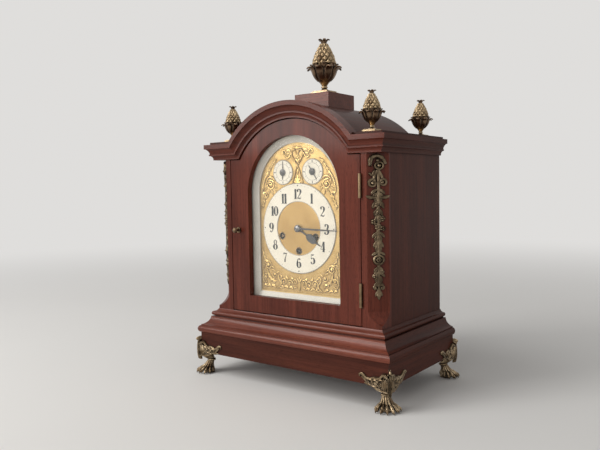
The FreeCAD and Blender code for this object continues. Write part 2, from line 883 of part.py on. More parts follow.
def build_slip(pane_bottom):
    """Silvered bevelled frame behind the glass: deep at its outside, thin at its sight edge."""
    outer = arched("slip_outer", pane_half, pane_bottom, aperture_z,
                   (glass_back, door_back))
    depth = door_back - glass_back
    sight = s.slip_inner_half_width
    flare = pane_half - 1.4
    run = depth - s.slip_edge_thickness
    half = flare - sight
    hole = arched("slip_sight", sight, s.slip_inner_bottom, aperture_z,
                  (glass_back, door_back))
    cone_cut = cone("slip_cone", "Y", (0, glass_back, aperture_z), flare, sight, run)
    low_front = s.slip_inner_bottom - half
    wedge = doc.addObject("Part::Wedge", "slip_wedge")
    for path, size in (("Xmin", -flare), ("Xmax", flare), ("Zmin", low_front),
                       ("Zmax", aperture_z), ("Ymin", 0), ("Ymax", run),
                       ("X2min", -sight), ("X2max", sight), ("Z2min", s.slip_inner_bottom),
                       ("Z2max", aperture_z)):
        bind(wedge, path, size)
    place(wedge, 0, glass_back, 0)
    return cut("door_slip", outer, [hole, cone_cut, wedge])


def build_back_door():
    inner = back_door_face - s.back_door_thickness
    y = (inner, back_door_face)
    half = s.back_door_half_width
    middle = (s.body_bottom + s.back_door_top) / 2
    board = box("back_door_board", (-half, half), y,
                (s.body_bottom + s.back_door_gap, s.back_door_top))
    holes = [rod("sound_hole_middle", "Y", (0, inner, middle), s.sound_hole_radius,
                 s.back_door_thickness)]
    for index in range(SOUND_HOLE_COUNT):
        turn = 2 * math.pi * index / SOUND_HOLE_COUNT
        centre = (math.cos(turn) * s.sound_ring_radius, inner,
                  middle + math.sin(turn) * s.sound_ring_radius)
        holes.append(rod(f"sound_hole_{index}", "Y", centre, s.sound_hole_radius,
                         s.back_door_thickness))
    holes.append(rod("back_spindle_hole", "Y", (-s.back_knob_offset, inner, middle),
                     s.spindle_radius + s.shaft_clearance, s.back_door_thickness))
    door = cut("back_door", board, [*holes, *back_hinges.pockets(False)])
    frame_inner = back_face - s.back_thickness
    handle = knob("back_door_knob", -s.back_knob_offset, middle, back_door_face, inner, 1,
                  inner - frame_inner + 0.4, s.back_knob_projection)
    return [door, handle]


def build_hinges():
    return [
        group("hinge_leaves_case", [*front_hinges.frame_halves(), *back_hinges.frame_halves()]),
        group("hinge_leaves_door", front_hinges.door_halves()),
        group("hinge_leaves_back_door", back_hinges.door_halves()),
    ]


# ---------------------------------------------------------------- dial and hands

SQUARE_PLACES = [
    ("strike", -s.side_square_offset, s.dial_centre_height - s.side_square_drop),
    ("going", Size.of(0), s.dial_centre_height - s.going_square_drop),
    ("chime", s.side_square_offset, s.dial_centre_height - s.side_square_drop),
]
plate_front = -s.movement_front
plate_front_back = plate_front + s.movement_plate_thickness
back_plate_front = plate_front_back + s.movement_depth
back_plate_back = back_plate_front + s.movement_plate_thickness
hour_pipe_radius = s.centre_shaft_radius * 2 + 0.2
cannon_radius = s.centre_shaft_radius + s.shaft_clearance + 0.8


def build_mask():
    y = (dial_front, mask_back)
    play = 0.2
    square = box("mask_square", (-stile_inner + play, stile_inner - play), y,
                 (s.body_bottom, s.cornice_bottom - play))
    dome = rod("mask_round", "Y", (0, dial_front, arch_z),
               s.arch_opening_radius - play, s.mask_thickness)
    opening = arched("mask_opening", s.dial_half_width + s.mask_clearance,
                     s.dial_bottom - s.mask_clearance, dial_arch_z, y)
    slot_half = s.latch_half_width * 2
    slot = box("mask_latch_slot", (-s.knob_offset - slot_half, -s.knob_offset + slot_half), y,
               (s.knob_height - s.latch_length - s.latch_half_width, s.knob_height + slot_half))
    return [cut("dial_mask", fuse("mask_solid", [square, dome]), [opening, slot])]


def build_dial():
    y = (dial_front, dial_back)
    plate = arched("dial_plate_blank", s.dial_half_width, s.dial_bottom, dial_arch_z, y)
    feet = []
    foot_length = plate_front - dial_back
    for index, (x, z) in enumerate(((-1, 0), (1, 0), (-1, 1), (1, 1))):
        height = s.dial_bottom + 20.0 + z * (dial_arch_z - s.dial_bottom - 20.0)
        feet.append(rod(f"dial_foot_{index}", "Y", (x * 60.0, dial_back, height), 3.0,
                        foot_length))
    holes = [rod("dial_centre_hole", "Y", (0, dial_front, s.dial_centre_height),
                 hour_pipe_radius + 0.6, s.dial_plate_thickness)]
    for name, x, z in SQUARE_PLACES:
        holes.append(rod(f"dial_key_hole_{name}", "Y", (x, dial_front, z), s.key_hole_radius,
                         s.dial_plate_thickness))
    for name, sign in (("left", -1), ("right", 1)):
        holes.append(rod(f"dial_pin_hole_{name}", "Y",
                         (sign * s.subdial_offset, dial_front, subdial_z),
                         0.8 + s.shaft_clearance, s.dial_plate_thickness))
    dial = cut("dial_plate", fuse("dial_plate_solid", [plate, *feet]), holes)

    ring_front = dial_front - s.chapter_thickness
    start = (0, ring_front, s.dial_centre_height)
    ring = cut("chapter_ring",
               rod("chapter_disc", "Y", start, s.chapter_outer_radius, s.chapter_thickness),
               [rod("chapter_hole", "Y", start, s.chapter_inner_radius, s.chapter_thickness)])
    discs = []
    for name, sign in (("left", -1), ("right", 1)):
        centre = (sign * s.subdial_offset, ring_front, subdial_z)
        disc = rod(f"subdial_disc_{name}", "Y", centre, s.subdial_radius, s.chapter_thickness)
        hole = rod(f"subdial_hole_{name}", "Y", centre, 0.8 + s.shaft_clearance,
                   s.chapter_thickness)
        discs.append(cut(f"subdial_{name}", disc, [hole]))
    subdials = group("subdials", discs)

    mount_front = dial_front - s.mount_thickness
    mount_y = (mount_front, dial_front)
    blank = arched("mounts_blank", s.mount_edge, s.mount_bottom, dial_arch_z, mount_y)
    gaps = [rod("mounts_ring_gap", "Y", (0, mount_front, s.dial_centre_height),
                s.chapter_outer_radius + 0.6, s.mount_thickness),
            box("mounts_middle_gap", (-s.dial_half_width, s.dial_half_width), mount_y,
                (s.dial_centre_height - s.mount_low_top,
                 s.dial_centre_height + s.mount_high_bottom))]
    for name, sign in (("left", -1), ("right", 1)):
        gaps.append(rod(f"mounts_subdial_gap_{name}", "Y",
                        (sign * s.subdial_offset, mount_front, subdial_z),
                        s.subdial_radius + 0.6, s.mount_thickness))
    mounts = cut("dial_mounts", blank, gaps)
    return [dial, ring, subdials, mounts]


def hand(label, outline, y, angle, hub_radius, bore, x=0.0, z=0.0):
    """A flat hand drawn pointing up, with its hub, then turned clockwise about its arbor."""
    front = Size.of(y)
    blade = prism(label + "_blade", "XZ", outline, front, front + s.hand_thickness)
    hub = rod(label + "_hub", "Y", (0, front, 0), hub_radius, s.hand_thickness)
    solid = fuse(label + "_solid", [blade, hub])
    if bore is None:
        item = solid
    else:
        item = cut(label + "_bored", solid,
                   [rod(label + "_bore", "Y", (0, front, 0), bore, s.hand_thickness)])
    return place_turned(item, x, z, angle)


def place_turned(item, x, z, angle):
    angle = Size.of(angle)
    item.Placement = FreeCAD.Placement(FreeCAD.Vector(), FreeCAD.Rotation(Y_AXIS, angle.value))
    item.setExpression("Placement.Rotation.Angle", f"{angle.formula} * 1 deg")
    bind(item, "Placement.Base.x", x)
    bind(item, "Placement.Base.z", z)
    return item


def build_hands():
    centre = s.dial_centre_height
    hour_front = dial_front - s.chapter_thickness - 1.5
    length = s.hour_hand_length
    hour_blade = hand("hour", [
        (-1.2, 0), (1.2, 0), (1.0, length * 0.38),
        (5.2, length * 0.6, 9.0), (1.4, length * 0.78, 7.0), (0.35, length), (-0.35, length),
        (-1.4, length * 0.78), (-5.2, length * 0.6, 7.0), (-1.0, length * 0.38, 9.0),
    ], hour_front, s.hour_hand_angle, s.hand_hub_radius, hour_pipe_radius, 0, centre)
    hour = group("hour_hand", [hour_blade])

    minute_front = hour_front - s.hand_thickness - 0.8
    length = s.minute_hand_length
    minute_blade = hand("minute", [
        (-1.5, -3.0), (1.5, -3.0), (1.5, 0), (1.0, length * 0.6), (0.4, length),
        (-0.4, length), (-1.0, length * 0.6), (-1.5, 0),
    ], minute_front, s.minute_hand_angle, s.hand_hub_radius - 0.6,
        s.centre_shaft_radius + s.shaft_clearance, 0, centre)
    cannon = toothed_stack("cannon_pinion", 0, centre, [
        ("teeth", CANNON_PINION_LEAVES, pair_radius(CANNON_PINION_LEAVES, MINUTE_WHEEL_TEETH,
                                                    s.minute_wheel_rise),
         -50.4, -48.0, 90.0, "pinion"),
        ("shaft", cannon_radius, minute_front + s.hand_thickness, -50.4),
    ], bore=s.centre_shaft_radius + s.shaft_clearance)
    minute = group("minute_hand", [minute_blade, cannon])

    hands = [hour, minute]
    sub_front = dial_front - s.chapter_thickness - 0.3 - s.hand_thickness
    reach = s.subdial_hand_length
    for name, sign, angle in (("left", -1, 2.0), ("right", 1, 146.0)):
        x = sign * s.subdial_offset
        blade = hand(f"subdial_{name}_hand", [
            (-0.5, -reach * 0.8), (0.5, -reach * 0.8), (0.9, 0), (0.3, reach), (-0.3, reach),
            (-0.9, 0)], sub_front, angle, 2.4, None, x, subdial_z)
        pin = rod(f"subdial_{name}_pin", "Y", (x, sub_front + s.hand_thickness,
                                               subdial_z), 0.8,
                  dial_back - sub_front - s.hand_thickness + 2.0)
        hands.append(fuse(f"subdial_hand_{name}", [blade, pin]))
    return hands


# ---------------------------------------------------------------- movement

TOOTH_FORM = {
    # addendum and dedendum in modules; half widths at root and tip as shares of the pitch
    "wheel": (0.9, 1.2, 0.25, 0.10),
    "pinion": (0.7, 1.3, 0.15, 0.09),
}


def toothed_disc(teeth, pitch_radius, facing, form):
    """A wheel's face in XZ; a wheel has a tooth at the facing angle and a pinion has a gap."""
    addendum, dedendum, root_share, tip_share = TOOTH_FORM[form]
    module = 2 * pitch_radius / teeth
    pitch = 2 * math.pi / teeth
    first = math.radians(facing) + (pitch / 2 if form == "pinion" else 0.0)
    tip = pitch_radius + addendum * module
    foot = pitch_radius - dedendum * module
    corners = []
    for index in range(teeth):
        middle = first + index * pitch
        for radius, share in ((foot, -root_share), (tip, -tip_share),
                              (tip, tip_share), (foot, root_share)):
            turn = middle + share * pitch
            corners.append(FreeCAD.Vector(radius * math.cos(turn), 0, radius * math.sin(turn)))
    return Part.Face(Part.makePolygon([*corners, corners[0]]))


def toothed_stack(label, x, z, elements, bore=None):
    """Wheels, pinions, shafts and squares on one arbor along Y, as one solid."""
    solids = []
    for element in elements:
        kind = element[0]
        if kind == "teeth":
            _, teeth, radius, near, far, facing, form = element
            near, far = Size.of(near).value, Size.of(far).value
            face = toothed_disc(teeth, Size.of(radius).value, facing, form)
            face.translate(FreeCAD.Vector(0, near, 0))
            solids.append(face.extrude(FreeCAD.Vector(0, far - near, 0)))
            continue
        _, size, near, far = element
        size, near, far = Size.of(size).value, Size.of(near).value, Size.of(far).value
        if kind == "shaft":
            solids.append(Part.makeCylinder(size, far - near, FreeCAD.Vector(0, near, 0), Y_AXIS))
        else:
            solids.append(Part.makeBox(size, far - near, size,
                                       FreeCAD.Vector(-size / 2, near, -size / 2)))
    shape = solids[0].multiFuse(solids[1:]) if len(solids) > 1 else solids[0]
    if bore is not None:
        radius = Size.of(bore).value
        box_y = shape.BoundBox
        shape = shape.cut(Part.makeCylinder(radius, box_y.YLength + 2,
                                            FreeCAD.Vector(0, box_y.YMin - 1, 0), Y_AXIS))
    item = doc.addObject("Part::Feature", label)
    item.Shape = shape.removeSplitter()
    return place(item, x, 0, z)


def pair_radius(teeth, partner_teeth, distance):
    """Pitch radius of a wheel that meshes with its partner at a distance."""
    return distance * (teeth / (teeth + partner_teeth))


def heading(x, z):
    """Angle in XZ of a direction, in degrees."""
    return math.degrees(math.atan2(Size.of(z).value, Size.of(x).value))


third_x = -s.third_offset
third_z = s.dial_centre_height + s.third_rise
escape_z = s.dial_centre_height + s.escape_rise
anchor_z = escape_z + s.anchor_distance
pendulum_y = back_plate_back + s.pendulum_setback
bob_z = anchor_z - s.pendulum_length
bob_foot = bob_z - s.bob_radius - 7.0
minute_wheel_z = s.dial_centre_height + s.minute_wheel_rise
going_z = s.dial_centre_height - s.going_square_drop
third_distance = root(s.third_offset * s.third_offset + s.third_rise * s.third_rise)
escape_step = s.escape_rise - s.third_rise
escape_distance = root(s.third_offset * s.third_offset + escape_step * escape_step)


def build_trains():
    square_tip = dial_back - 1.0
    rear_end = back_plate_back - 0.2
    shoulder = back_plate_front - 0.3
    items = []
    great_radius = pair_radius(GREAT_WHEEL_TEETH, CENTRE_PINION_LEAVES, s.going_square_drop)
    items.append(toothed_stack("going_barrel", 0, going_z, [
        ("teeth", GREAT_WHEEL_TEETH, great_radius, -41.0, -38.6, 90.0, "wheel"),
        ("shaft", s.barrel_radius, -38.6, -18.0),
    ], bore=s.winding_shaft_radius + s.shaft_clearance))

    def winding_arbor(label, x, z, extra):
        return toothed_stack(label, x, z, [
            ("square", s.winding_square, square_tip, plate_front - 0.5),
            ("shaft", s.winding_shaft_radius, plate_front - 0.5, shoulder),
            ("shaft", s.centre_shaft_radius, shoulder, rear_end), *extra])

    items.append(winding_arbor("going_arbor", 0, going_z,
                               [("teeth", 24, 8.0, -17.6, -16.2, 0.0, "wheel")]))
    for name, x, z in (SQUARE_PLACES[0], SQUARE_PLACES[2]):
        items.append(winding_arbor(f"{name}_barrel", x, z, [
            ("shaft", s.side_barrel_radius, -12.0, 8.0),
            ("teeth", GREAT_WHEEL_TEETH, s.side_wheel_radius, 8.0, 10.4, 0.0, "wheel")]))

    centre_pinion = pair_radius(CENTRE_PINION_LEAVES, GREAT_WHEEL_TEETH, s.going_square_drop)
    centre_wheel = pair_radius(CENTRE_WHEEL_TEETH, THIRD_PINION_LEAVES, third_distance)
    items.append(toothed_stack("centre_arbor", 0, s.dial_centre_height, [
        ("shaft", s.centre_shaft_radius, glass_back + 0.6, rear_end),
        ("teeth", CENTRE_PINION_LEAVES, centre_pinion, -42.6, -38.0, -90.0, "pinion"),
        ("teeth", CENTRE_WHEEL_TEETH, centre_wheel, -15.4, -14.0,
         heading(third_x, s.third_rise), "wheel")]))

    third_pinion = pair_radius(THIRD_PINION_LEAVES, CENTRE_WHEEL_TEETH, third_distance)
    third_wheel = pair_radius(THIRD_WHEEL_TEETH, ESCAPE_PINION_LEAVES, escape_distance)
    items.append(toothed_stack("third_arbor", third_x, third_z, [
        ("shaft", s.train_shaft_radius, plate_front + 0.2, rear_end),
        ("teeth", THIRD_PINION_LEAVES, third_pinion, -16.8, -12.8,
         heading(s.third_offset, -s.third_rise), "pinion"),
        ("teeth", THIRD_WHEEL_TEETH, third_wheel, -30.0, -28.6,
         heading(s.third_offset, escape_step), "wheel")]))

    escape_pinion = pair_radius(ESCAPE_PINION_LEAVES, THIRD_WHEEL_TEETH, escape_distance)
    items.append(toothed_stack("escape_arbor", 0, escape_z, [
        ("shaft", s.train_shaft_radius, plate_front + 0.2, rear_end),
        ("teeth", ESCAPE_PINION_LEAVES, escape_pinion, -31.4, -27.2,
         heading(third_x, -escape_step), "pinion"),
        ("teeth", ESCAPE_WHEEL_TEETH, s.escape_wheel_radius - 0.9, -6.0, -4.8, 90.0, "wheel")]))
    return items


def build_motion_work():
    distance = s.minute_wheel_rise
    wheel = pair_radius(MINUTE_WHEEL_TEETH, CANNON_PINION_LEAVES, distance)
    pinion = pair_radius(MINUTE_PINION_LEAVES, HOUR_WHEEL_TEETH, distance)
    hour = pair_radius(HOUR_WHEEL_TEETH, MINUTE_PINION_LEAVES, distance)
    minute_wheel = toothed_stack("minute_wheel", 0, minute_wheel_z, [
        ("teeth", MINUTE_WHEEL_TEETH, wheel, -49.9, -48.5, -90.0, "wheel"),
        ("teeth", MINUTE_PINION_LEAVES, pinion, -54.2, -49.9, -90.0, "pinion"),
    ], bore=s.centre_shaft_radius + s.shaft_clearance)
    hour_wheel = toothed_stack("hour_wheel", 0, s.dial_centre_height, [
        ("teeth", HOUR_WHEEL_TEETH, hour, -53.7, -52.3, 90.0, "wheel"),
        ("shaft", hour_pipe_radius, dial_front - s.chapter_thickness - 1.5, -51.0),
    ], bore=cannon_radius + s.shaft_clearance)
    return [minute_wheel, hour_wheel]


def plate_holes(label, y, rear):
    """Pivot holes through one movement plate."""
    side_radius = s.centre_shaft_radius if rear else s.winding_shaft_radius
    spots = [(f"{name}", x, z, side_radius) for name, x, z in SQUARE_PLACES]
    spots += [
        ("centre", Size.of(0), s.dial_centre_height, s.centre_shaft_radius),
        ("third", third_x, third_z, s.train_shaft_radius),
        ("escape", Size.of(0), escape_z, s.train_shaft_radius),
        ("anchor", Size.of(0), anchor_z, s.centre_shaft_radius if rear else s.train_shaft_radius),
    ]
    return [rod(f"{label}_{name}_hole", "Y", (x, y, z), radius + s.shaft_clearance,
                s.movement_plate_thickness) for name, x, z, radius in spots]


def build_movement_frame():
    half = s.movement_plate_half_width
    height = (s.seatboard_top, s.movement_top)
    front_solid = fuse("front_plate_solid", [
        box("front_plate_sheet", (-half, half), (plate_front, plate_front_back), height),
        rod("minute_wheel_stud", "Y", (0, -54.8, minute_wheel_z), s.centre_shaft_radius,
            plate_front + 54.8)])
    front = cut("front_plate", front_solid, plate_holes("front_plate", plate_front, False))
    sheet = cut("back_plate_sheet",
                box("back_plate_blank", (-half, half), (back_plate_front, back_plate_back),
                    height), plate_holes("back_plate", back_plate_front, True))
    pillars = []
    pillar_x = half - s.pillar_radius * 2
    for index, (side, low) in enumerate(((-1, 1), (1, 1), (-1, 0), (1, 0))):
        z = s.seatboard_top + s.pillar_radius * 2.5 if low else \
            s.movement_top - s.pillar_radius * 2.5
        pillars.append(rod(f"pillar_{index}", "Y", (side * pillar_x, plate_front_back, z),
                           s.pillar_radius, s.movement_depth))
    pin_y = pendulum_y - 5.0
    tab_y = pin_y + 10.0
    cock = fuse("suspension_cock", [
        box("cock_arm", (-6.0, 6.0), (back_plate_back, tab_y + 3.0),
            (anchor_z + 5.0, anchor_z + 11.0)),
        box("cock_tab", (-6.0, 6.0), (tab_y, tab_y + 3.0), (anchor_z - 5.0, anchor_z + 11.0)),
        rod("cock_pin", "Y", (0, pin_y, anchor_z), 1.0, 10.0)])
    brackets = []
    for name, x in (("left", -36.0), ("right", 33.0)):
        arm = box(f"hammer_bracket_{name}_arm", (x, x + 3.0),
                  (back_plate_back, s.hammer_setback + 4.0),
                  (s.hammer_height - 4.0, s.hammer_height + 4.0))
        hole = rod(f"hammer_bracket_{name}_hole", "X", (x, s.hammer_setback, s.hammer_height),
                   s.centre_shaft_radius + s.shaft_clearance, 3.0)
        brackets.append(cut(f"hammer_bracket_{name}", arm, [hole]))
    back = group("back_plate", [sheet, *pillars, cock, *brackets])

    seat_front = plate_front - 4.0
    seat_back = back_plate_back + 1.5
    bottom = s.seatboard_top - s.seatboard_thickness
    board = box("seatboard_board", (-side_inner, side_inner), (seat_front, seat_back),
                (bottom, s.seatboard_top))
    rail_right = box("seatboard_rail_right", (side_inner - 12.0, side_inner),
                     (seat_front, seat_back), (bottom - 12.0, bottom))
    seat = group("seatboard", [board, rail_right, mirrored("seatboard_rail_left", rail_right)])
    return [front, back, seat]


def build_pendulum():
    reach = 12.0
    pallet = FreeCAD.Vector(s.escape_wheel_radius.value * 0.78, 0,
                            -s.anchor_distance.value * 0.42)
    outline = [FreeCAD.Vector(x, -6.2, z) for x, z in (
        (-reach, pallet.z + 1.0), (-pallet.x, pallet.z), (-8.5, -3.0), (-2.5, -1.5),
        (2.5, -1.5), (8.5, -3.0), (pallet.x, pallet.z), (reach, pallet.z + 1.0),
        (9.5, 0.5), (3.0, 3.0), (-3.0, 3.0), (-9.5, 0.5))]
    yoke = Part.Face(Part.makePolygon([*outline, outline[0]])).extrude(
        FreeCAD.Vector(0, 1.6, 0))
    shaft_front = plate_front.value + 0.2
    crutch_y = back_plate_back.value + 0.8
    rod_y = pendulum_y.value
    crutch_drop = 38.0
    slot = s.rod_radius.value + 0.15
    pieces = [
        Part.makeCylinder(s.train_shaft_radius.value, back_plate_front.value - 1.0 - shaft_front,
                          FreeCAD.Vector(0, shaft_front, 0), Y_AXIS),
        Part.makeCylinder(s.centre_shaft_radius.value,
                          crutch_y + 2.2 - back_plate_front.value + 1.0,
                          FreeCAD.Vector(0, back_plate_front.value - 1.0, 0), Y_AXIS),
        Part.makeBox(2.4, 1.6, crutch_drop, FreeCAD.Vector(-1.2, crutch_y, -crutch_drop)),
        Part.makeBox(slot * 2 + 2.0, 1.6, 3.0,
                     FreeCAD.Vector(-slot - 1.0, crutch_y, -crutch_drop)),
    ]
    for side in (-slot - 1.0, slot):
        pieces.append(Part.makeBox(1.0, rod_y + 2.0 - crutch_y, 3.0,
                                   FreeCAD.Vector(side, crutch_y, -crutch_drop)))
    item = doc.addObject("Part::Feature", "anchor")
    item.Shape = yoke.multiFuse(pieces).removeSplitter()
    place(item, 0, 0, anchor_z)

    y = pendulum_y
    eye = rod("pendulum_eye_ring", "Y", (0, y - 1.6, anchor_z), 2.4, 3.2)
    wire = rod("pendulum_rod", "Z", (0, y, bob_foot), s.rod_radius, anchor_z - 1.6 - bob_foot)
    half = s.bob_thickness / 2
    front_lens = cone("bob_front", "Y", (0, y - half, bob_z), s.bob_radius * 0.6, s.bob_radius,
                      half)
    back_lens = cone("bob_back", "Y", (0, y, bob_z), s.bob_radius, s.bob_radius * 0.6, half)
    nut = rod("rating_nut", "Z", (0, y, bob_z - s.bob_radius - 5.0), 4.0, 3.6)
    solid = fuse("pendulum_solid", [eye, wire, front_lens, back_lens, nut])
    bore = rod("pendulum_eye_bore", "Y", (0, y - 1.6, anchor_z), 1.0 + s.shaft_clearance, 3.2)
    return [item, cut("pendulum", solid, [bore])]


def build_gong():
    block_left = -100.0
    block_right = -84.0
    rods = []
    for index in range(HAMMER_COUNT):
        z = s.gong_rod_height + index * s.gong_rod_spacing
        rods.append(rod(f"gong_rod_{index}", "X", (block_right - 2.0, s.gong_rod_setback, z),
                        s.gong_rod_radius, 146.0 - index * 12.0))
    block = box("gong_block", (block_left, block_right),
                (s.gong_rod_setback - 10.0, s.gong_rod_setback + 10.0),
                (carcass_bottom, s.gong_rod_height + HAMMER_COUNT * s.gong_rod_spacing))
    gong = fuse("gong_rods", [block, *rods])
    head_end = s.gong_rod_setback - s.gong_rod_radius - 0.3
    head_start = s.hammer_setback - 1.0
    pieces = [rod("hammer_arbor", "X", (-40.0, s.hammer_setback, s.hammer_height),
                  s.centre_shaft_radius, 80.0)]
    for index in range(HAMMER_COUNT):
        x = -26.0 + index * 12.0
        z = s.gong_rod_height + index * s.gong_rod_spacing
        pieces.append(rod(f"hammer_arm_{index}", "Z", (x, s.hammer_setback, z), 1.0,
                          s.hammer_height - z))
        pieces.append(rod(f"hammer_head_{index}", "Y", (x, head_start, z), 2.8,
                          head_end - head_start))
    return [gong, fuse("hammers", pieces)]


# ---------------------------------------------------------------- brass furniture

def finial(label, x, y, base, scale):
    """Pineapple finial on a square foot: turned stem, leafy bowl, cone and crown."""
    unit_r = s.finial_radius * scale / 26.0
    unit_z = s.finial_height * scale / 84.6

    def at(radius, height, arc=None):
        point = (radius * unit_r, height * unit_z)
        return point if arc is None else (*point, arc * unit_r)

    plate_half = 14.5 * unit_r
    plate_top = 4.0 * unit_z
    plate = box(label + "_plate", (x - plate_half, x + plate_half),
                (y - plate_half, y + plate_half), (base, base + plate_top))
    spindle = turning(label + "_spindle", [
        at(0, 4.0), at(8.0, 4.0), at(3.4, 11.0, -12.0), at(3.4, 13.0), at(7.2, 19.0),
        at(17.4, 37.0, 20.0), at(25.0, 38.6), at(25.0, 41.2), at(16.4, 43.0),
        at(15.8, 48.0, 20.0), at(4.2, 75.5, 45.0), at(8.0, 80.4), at(8.0, 82.4),
        at(4.0, 84.6), at(0, 84.6)])
    place(spindle, x, y, base)
    return fuse(label, [plate, spindle])


def build_finials():
    centre = finial("finial_centre", Size.of(0), s.finial_setback, block_top, Size.of(1))
    corners = []
    for side, x in (("left", -s.corner_finial_offset), ("right", s.corner_finial_offset)):
        for end, y in (("front", -s.corner_finial_front), ("back", s.corner_finial_back)):
            corners.append(finial(f"finial_{end}_{side}", x, y, deck_top, s.corner_finial_scale))
    return [centre, group("finials_corner", corners)]


def build_garlands():
    """Cast drop of leaves and flowers on each chamfer, as its overall outline."""
    length = s.garland_top - s.garland_bottom
    wide = s.garland_half_width
    rows = ((0.0, 0.12), (0.05, 0.45), (0.14, 0.35), (0.2, 0.5), (0.3, 0.75), (0.4, 0.5),
            (0.5, 0.75), (0.6, 0.6), (0.7, 1.0), (0.78, 0.62), (0.9, 0.85), (1.0, 0.55))
    right_side = [(wide * share, s.garland_bottom + length * up) for up, share in rows]
    left_side = [(-wide * share, s.garland_bottom + length * up) for up, share in rows[::-1]]
    right = prism("garland_right", "XZ", right_side + left_side, -s.garland_thickness, 0)
    middle = s.chamfer_leg / 2
    place(right, half_width - middle, front_face + middle, 0, FreeCAD.Rotation(Z_AXIS, 45))
    return [group("corner_garlands", [right, mirrored("garland_left", right)])]


def foot(label, side, end):
    """Claw foot under one corner: paw, ankle, block under the plinth and two leaf wings."""
    x, y = side * s.foot_offset_x, end * s.foot_offset_y
    face_x = half_width + s.plinth_overhang
    face_y = s.case_front + s.plinth_overhang if end < 0 else s.case_back

    def ordered(first, last, sign):
        return (first, last) if sign > 0 else (-last, -first)

    paw = ball(label + "_paw", (x, y, s.paw_height * 0.35),
               (s.paw_radius, s.paw_radius, s.paw_height * 0.65))
    floor_cut = box(label + "_floor", (x - 40.0, x + 40.0), (y - 40.0, y + 40.0), (-40.0, 0))
    paw_cut = cut(label + "_paw_cut", paw, [floor_cut])
    ankle = cone(label + "_ankle", "Z", (x, y, s.paw_height * 0.5), 6.5, 9.5,
                 s.plinth_bottom - s.paw_height * 0.5)
    pad = box(label + "_pad", ordered(s.foot_offset_x - 10.0, face_x - 0.5, side),
              ordered(s.foot_offset_y - 10.0, face_y - 0.5, end),
              (s.plinth_bottom - 3.0, s.plinth_bottom))
    wing_z = (s.wing_bottom, s.wing_top)
    link_z = (s.plinth_bottom - 3.0, s.plinth_bottom)
    pieces = [paw_cut, ankle, pad]
    reach_x = ordered(face_x - s.wing_length, face_x + s.wing_thickness, side)
    side_wing_x = ordered(face_x, face_x + s.wing_thickness, side)
    reach_y = ordered(face_y - s.wing_length, face_y, end)
    short_y = ordered(s.foot_offset_y - 10.0, face_y, end)
    pieces.append(box(label + "_side_wing", side_wing_x, reach_y, wing_z))
    pieces.append(box(label + "_side_link", ordered(face_x - 1.0, face_x + s.wing_thickness, side),
                      short_y, link_z))
    if end < 0:
        wing_y = ordered(face_y, face_y + s.wing_thickness, end)
        pieces.append(box(label + "_end_wing", reach_x, wing_y, wing_z))
        short_x = ordered(s.foot_offset_x - 10.0, face_x + s.wing_thickness, side)
        pieces.append(box(label + "_end_link", short_x,
                          ordered(face_y - 1.0, face_y + s.wing_thickness, end), link_z))
    plinth_space = box(label + "_plinth_space", ordered(face_x - 80.0, face_x, side),
                       ordered(face_y - 80.0, face_y, end), (s.plinth_bottom, s.plinth_top))
    return cut(label, fuse(label + "_solid", pieces), [plinth_space])


def build_feet():
    feet = []
    for end_name, end in (("front", -1), ("rear", 1)):
        for side_name, side in (("left", -1), ("right", 1)):
            feet.append(foot(f"foot_{end_name}_{side_name}", side, end))
    return feet


# ---------------------------------------------------------------- build and write

def failed_objects():
    return [item.Label for item in doc.Objects
            if "Invalid" in item.State or "Error" in item.State]


def main():
    nodes = []
    for build in (build_plinth, build_base_moulding, build_base_board, build_carcass, build_back,
                  build_cornice, build_roof, build_front_door, build_back_door, build_hinges,
                  build_mask, build_dial, build_hands, build_trains, build_motion_work,
                  build_movement_frame, build_pendulum, build_gong, build_finials,
                  build_garlands, build_feet):
        nodes += build()
    doc.recompute()
    failures = failed_objects()
    if failures:
        raise RuntimeError("failed objects: " + ", ".join(failures))
    os.makedirs("parts", exist_ok=True)
    for node in nodes:
        shape = node.Shape
        if shape.isNull() or not shape.isValid() or not shape.Solids:
            raise RuntimeError("bad shape: " + node.Label)
    for node in nodes:
        node.Shape.exportStep(f"parts/{node.Label}.step")
        print(f"{node.Label:26s} {len(node.Shape.Solids):3d} solids "
              f"{node.Shape.Volume / 1000:9.2f} cm3")
    print(len(nodes), "nodes")


main()
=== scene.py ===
"""Looks of the bracket clock: polished mahogany case, aged brass castings and a gilt arched dial.

Lengths in the tables are millimetres, and MM turns them into metres. Camera, floor and lamps are
placed in metres.
"""

import math

import bpy
import numpy as np
from mathutils import Matrix, Vector


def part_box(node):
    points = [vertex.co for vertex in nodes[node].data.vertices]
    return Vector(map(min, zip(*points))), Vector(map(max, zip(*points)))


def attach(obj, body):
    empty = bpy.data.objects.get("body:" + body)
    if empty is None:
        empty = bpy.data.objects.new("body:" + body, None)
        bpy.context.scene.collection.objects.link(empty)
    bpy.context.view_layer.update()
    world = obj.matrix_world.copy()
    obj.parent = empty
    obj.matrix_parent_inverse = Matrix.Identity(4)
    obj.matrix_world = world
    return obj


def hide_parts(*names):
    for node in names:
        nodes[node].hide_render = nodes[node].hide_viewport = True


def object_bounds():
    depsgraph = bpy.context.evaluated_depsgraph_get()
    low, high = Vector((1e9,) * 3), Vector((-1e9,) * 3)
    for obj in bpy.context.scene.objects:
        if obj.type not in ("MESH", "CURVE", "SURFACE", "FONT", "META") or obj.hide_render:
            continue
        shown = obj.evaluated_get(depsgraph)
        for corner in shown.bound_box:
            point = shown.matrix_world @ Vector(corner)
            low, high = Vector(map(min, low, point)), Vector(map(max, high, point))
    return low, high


MM = 0.001

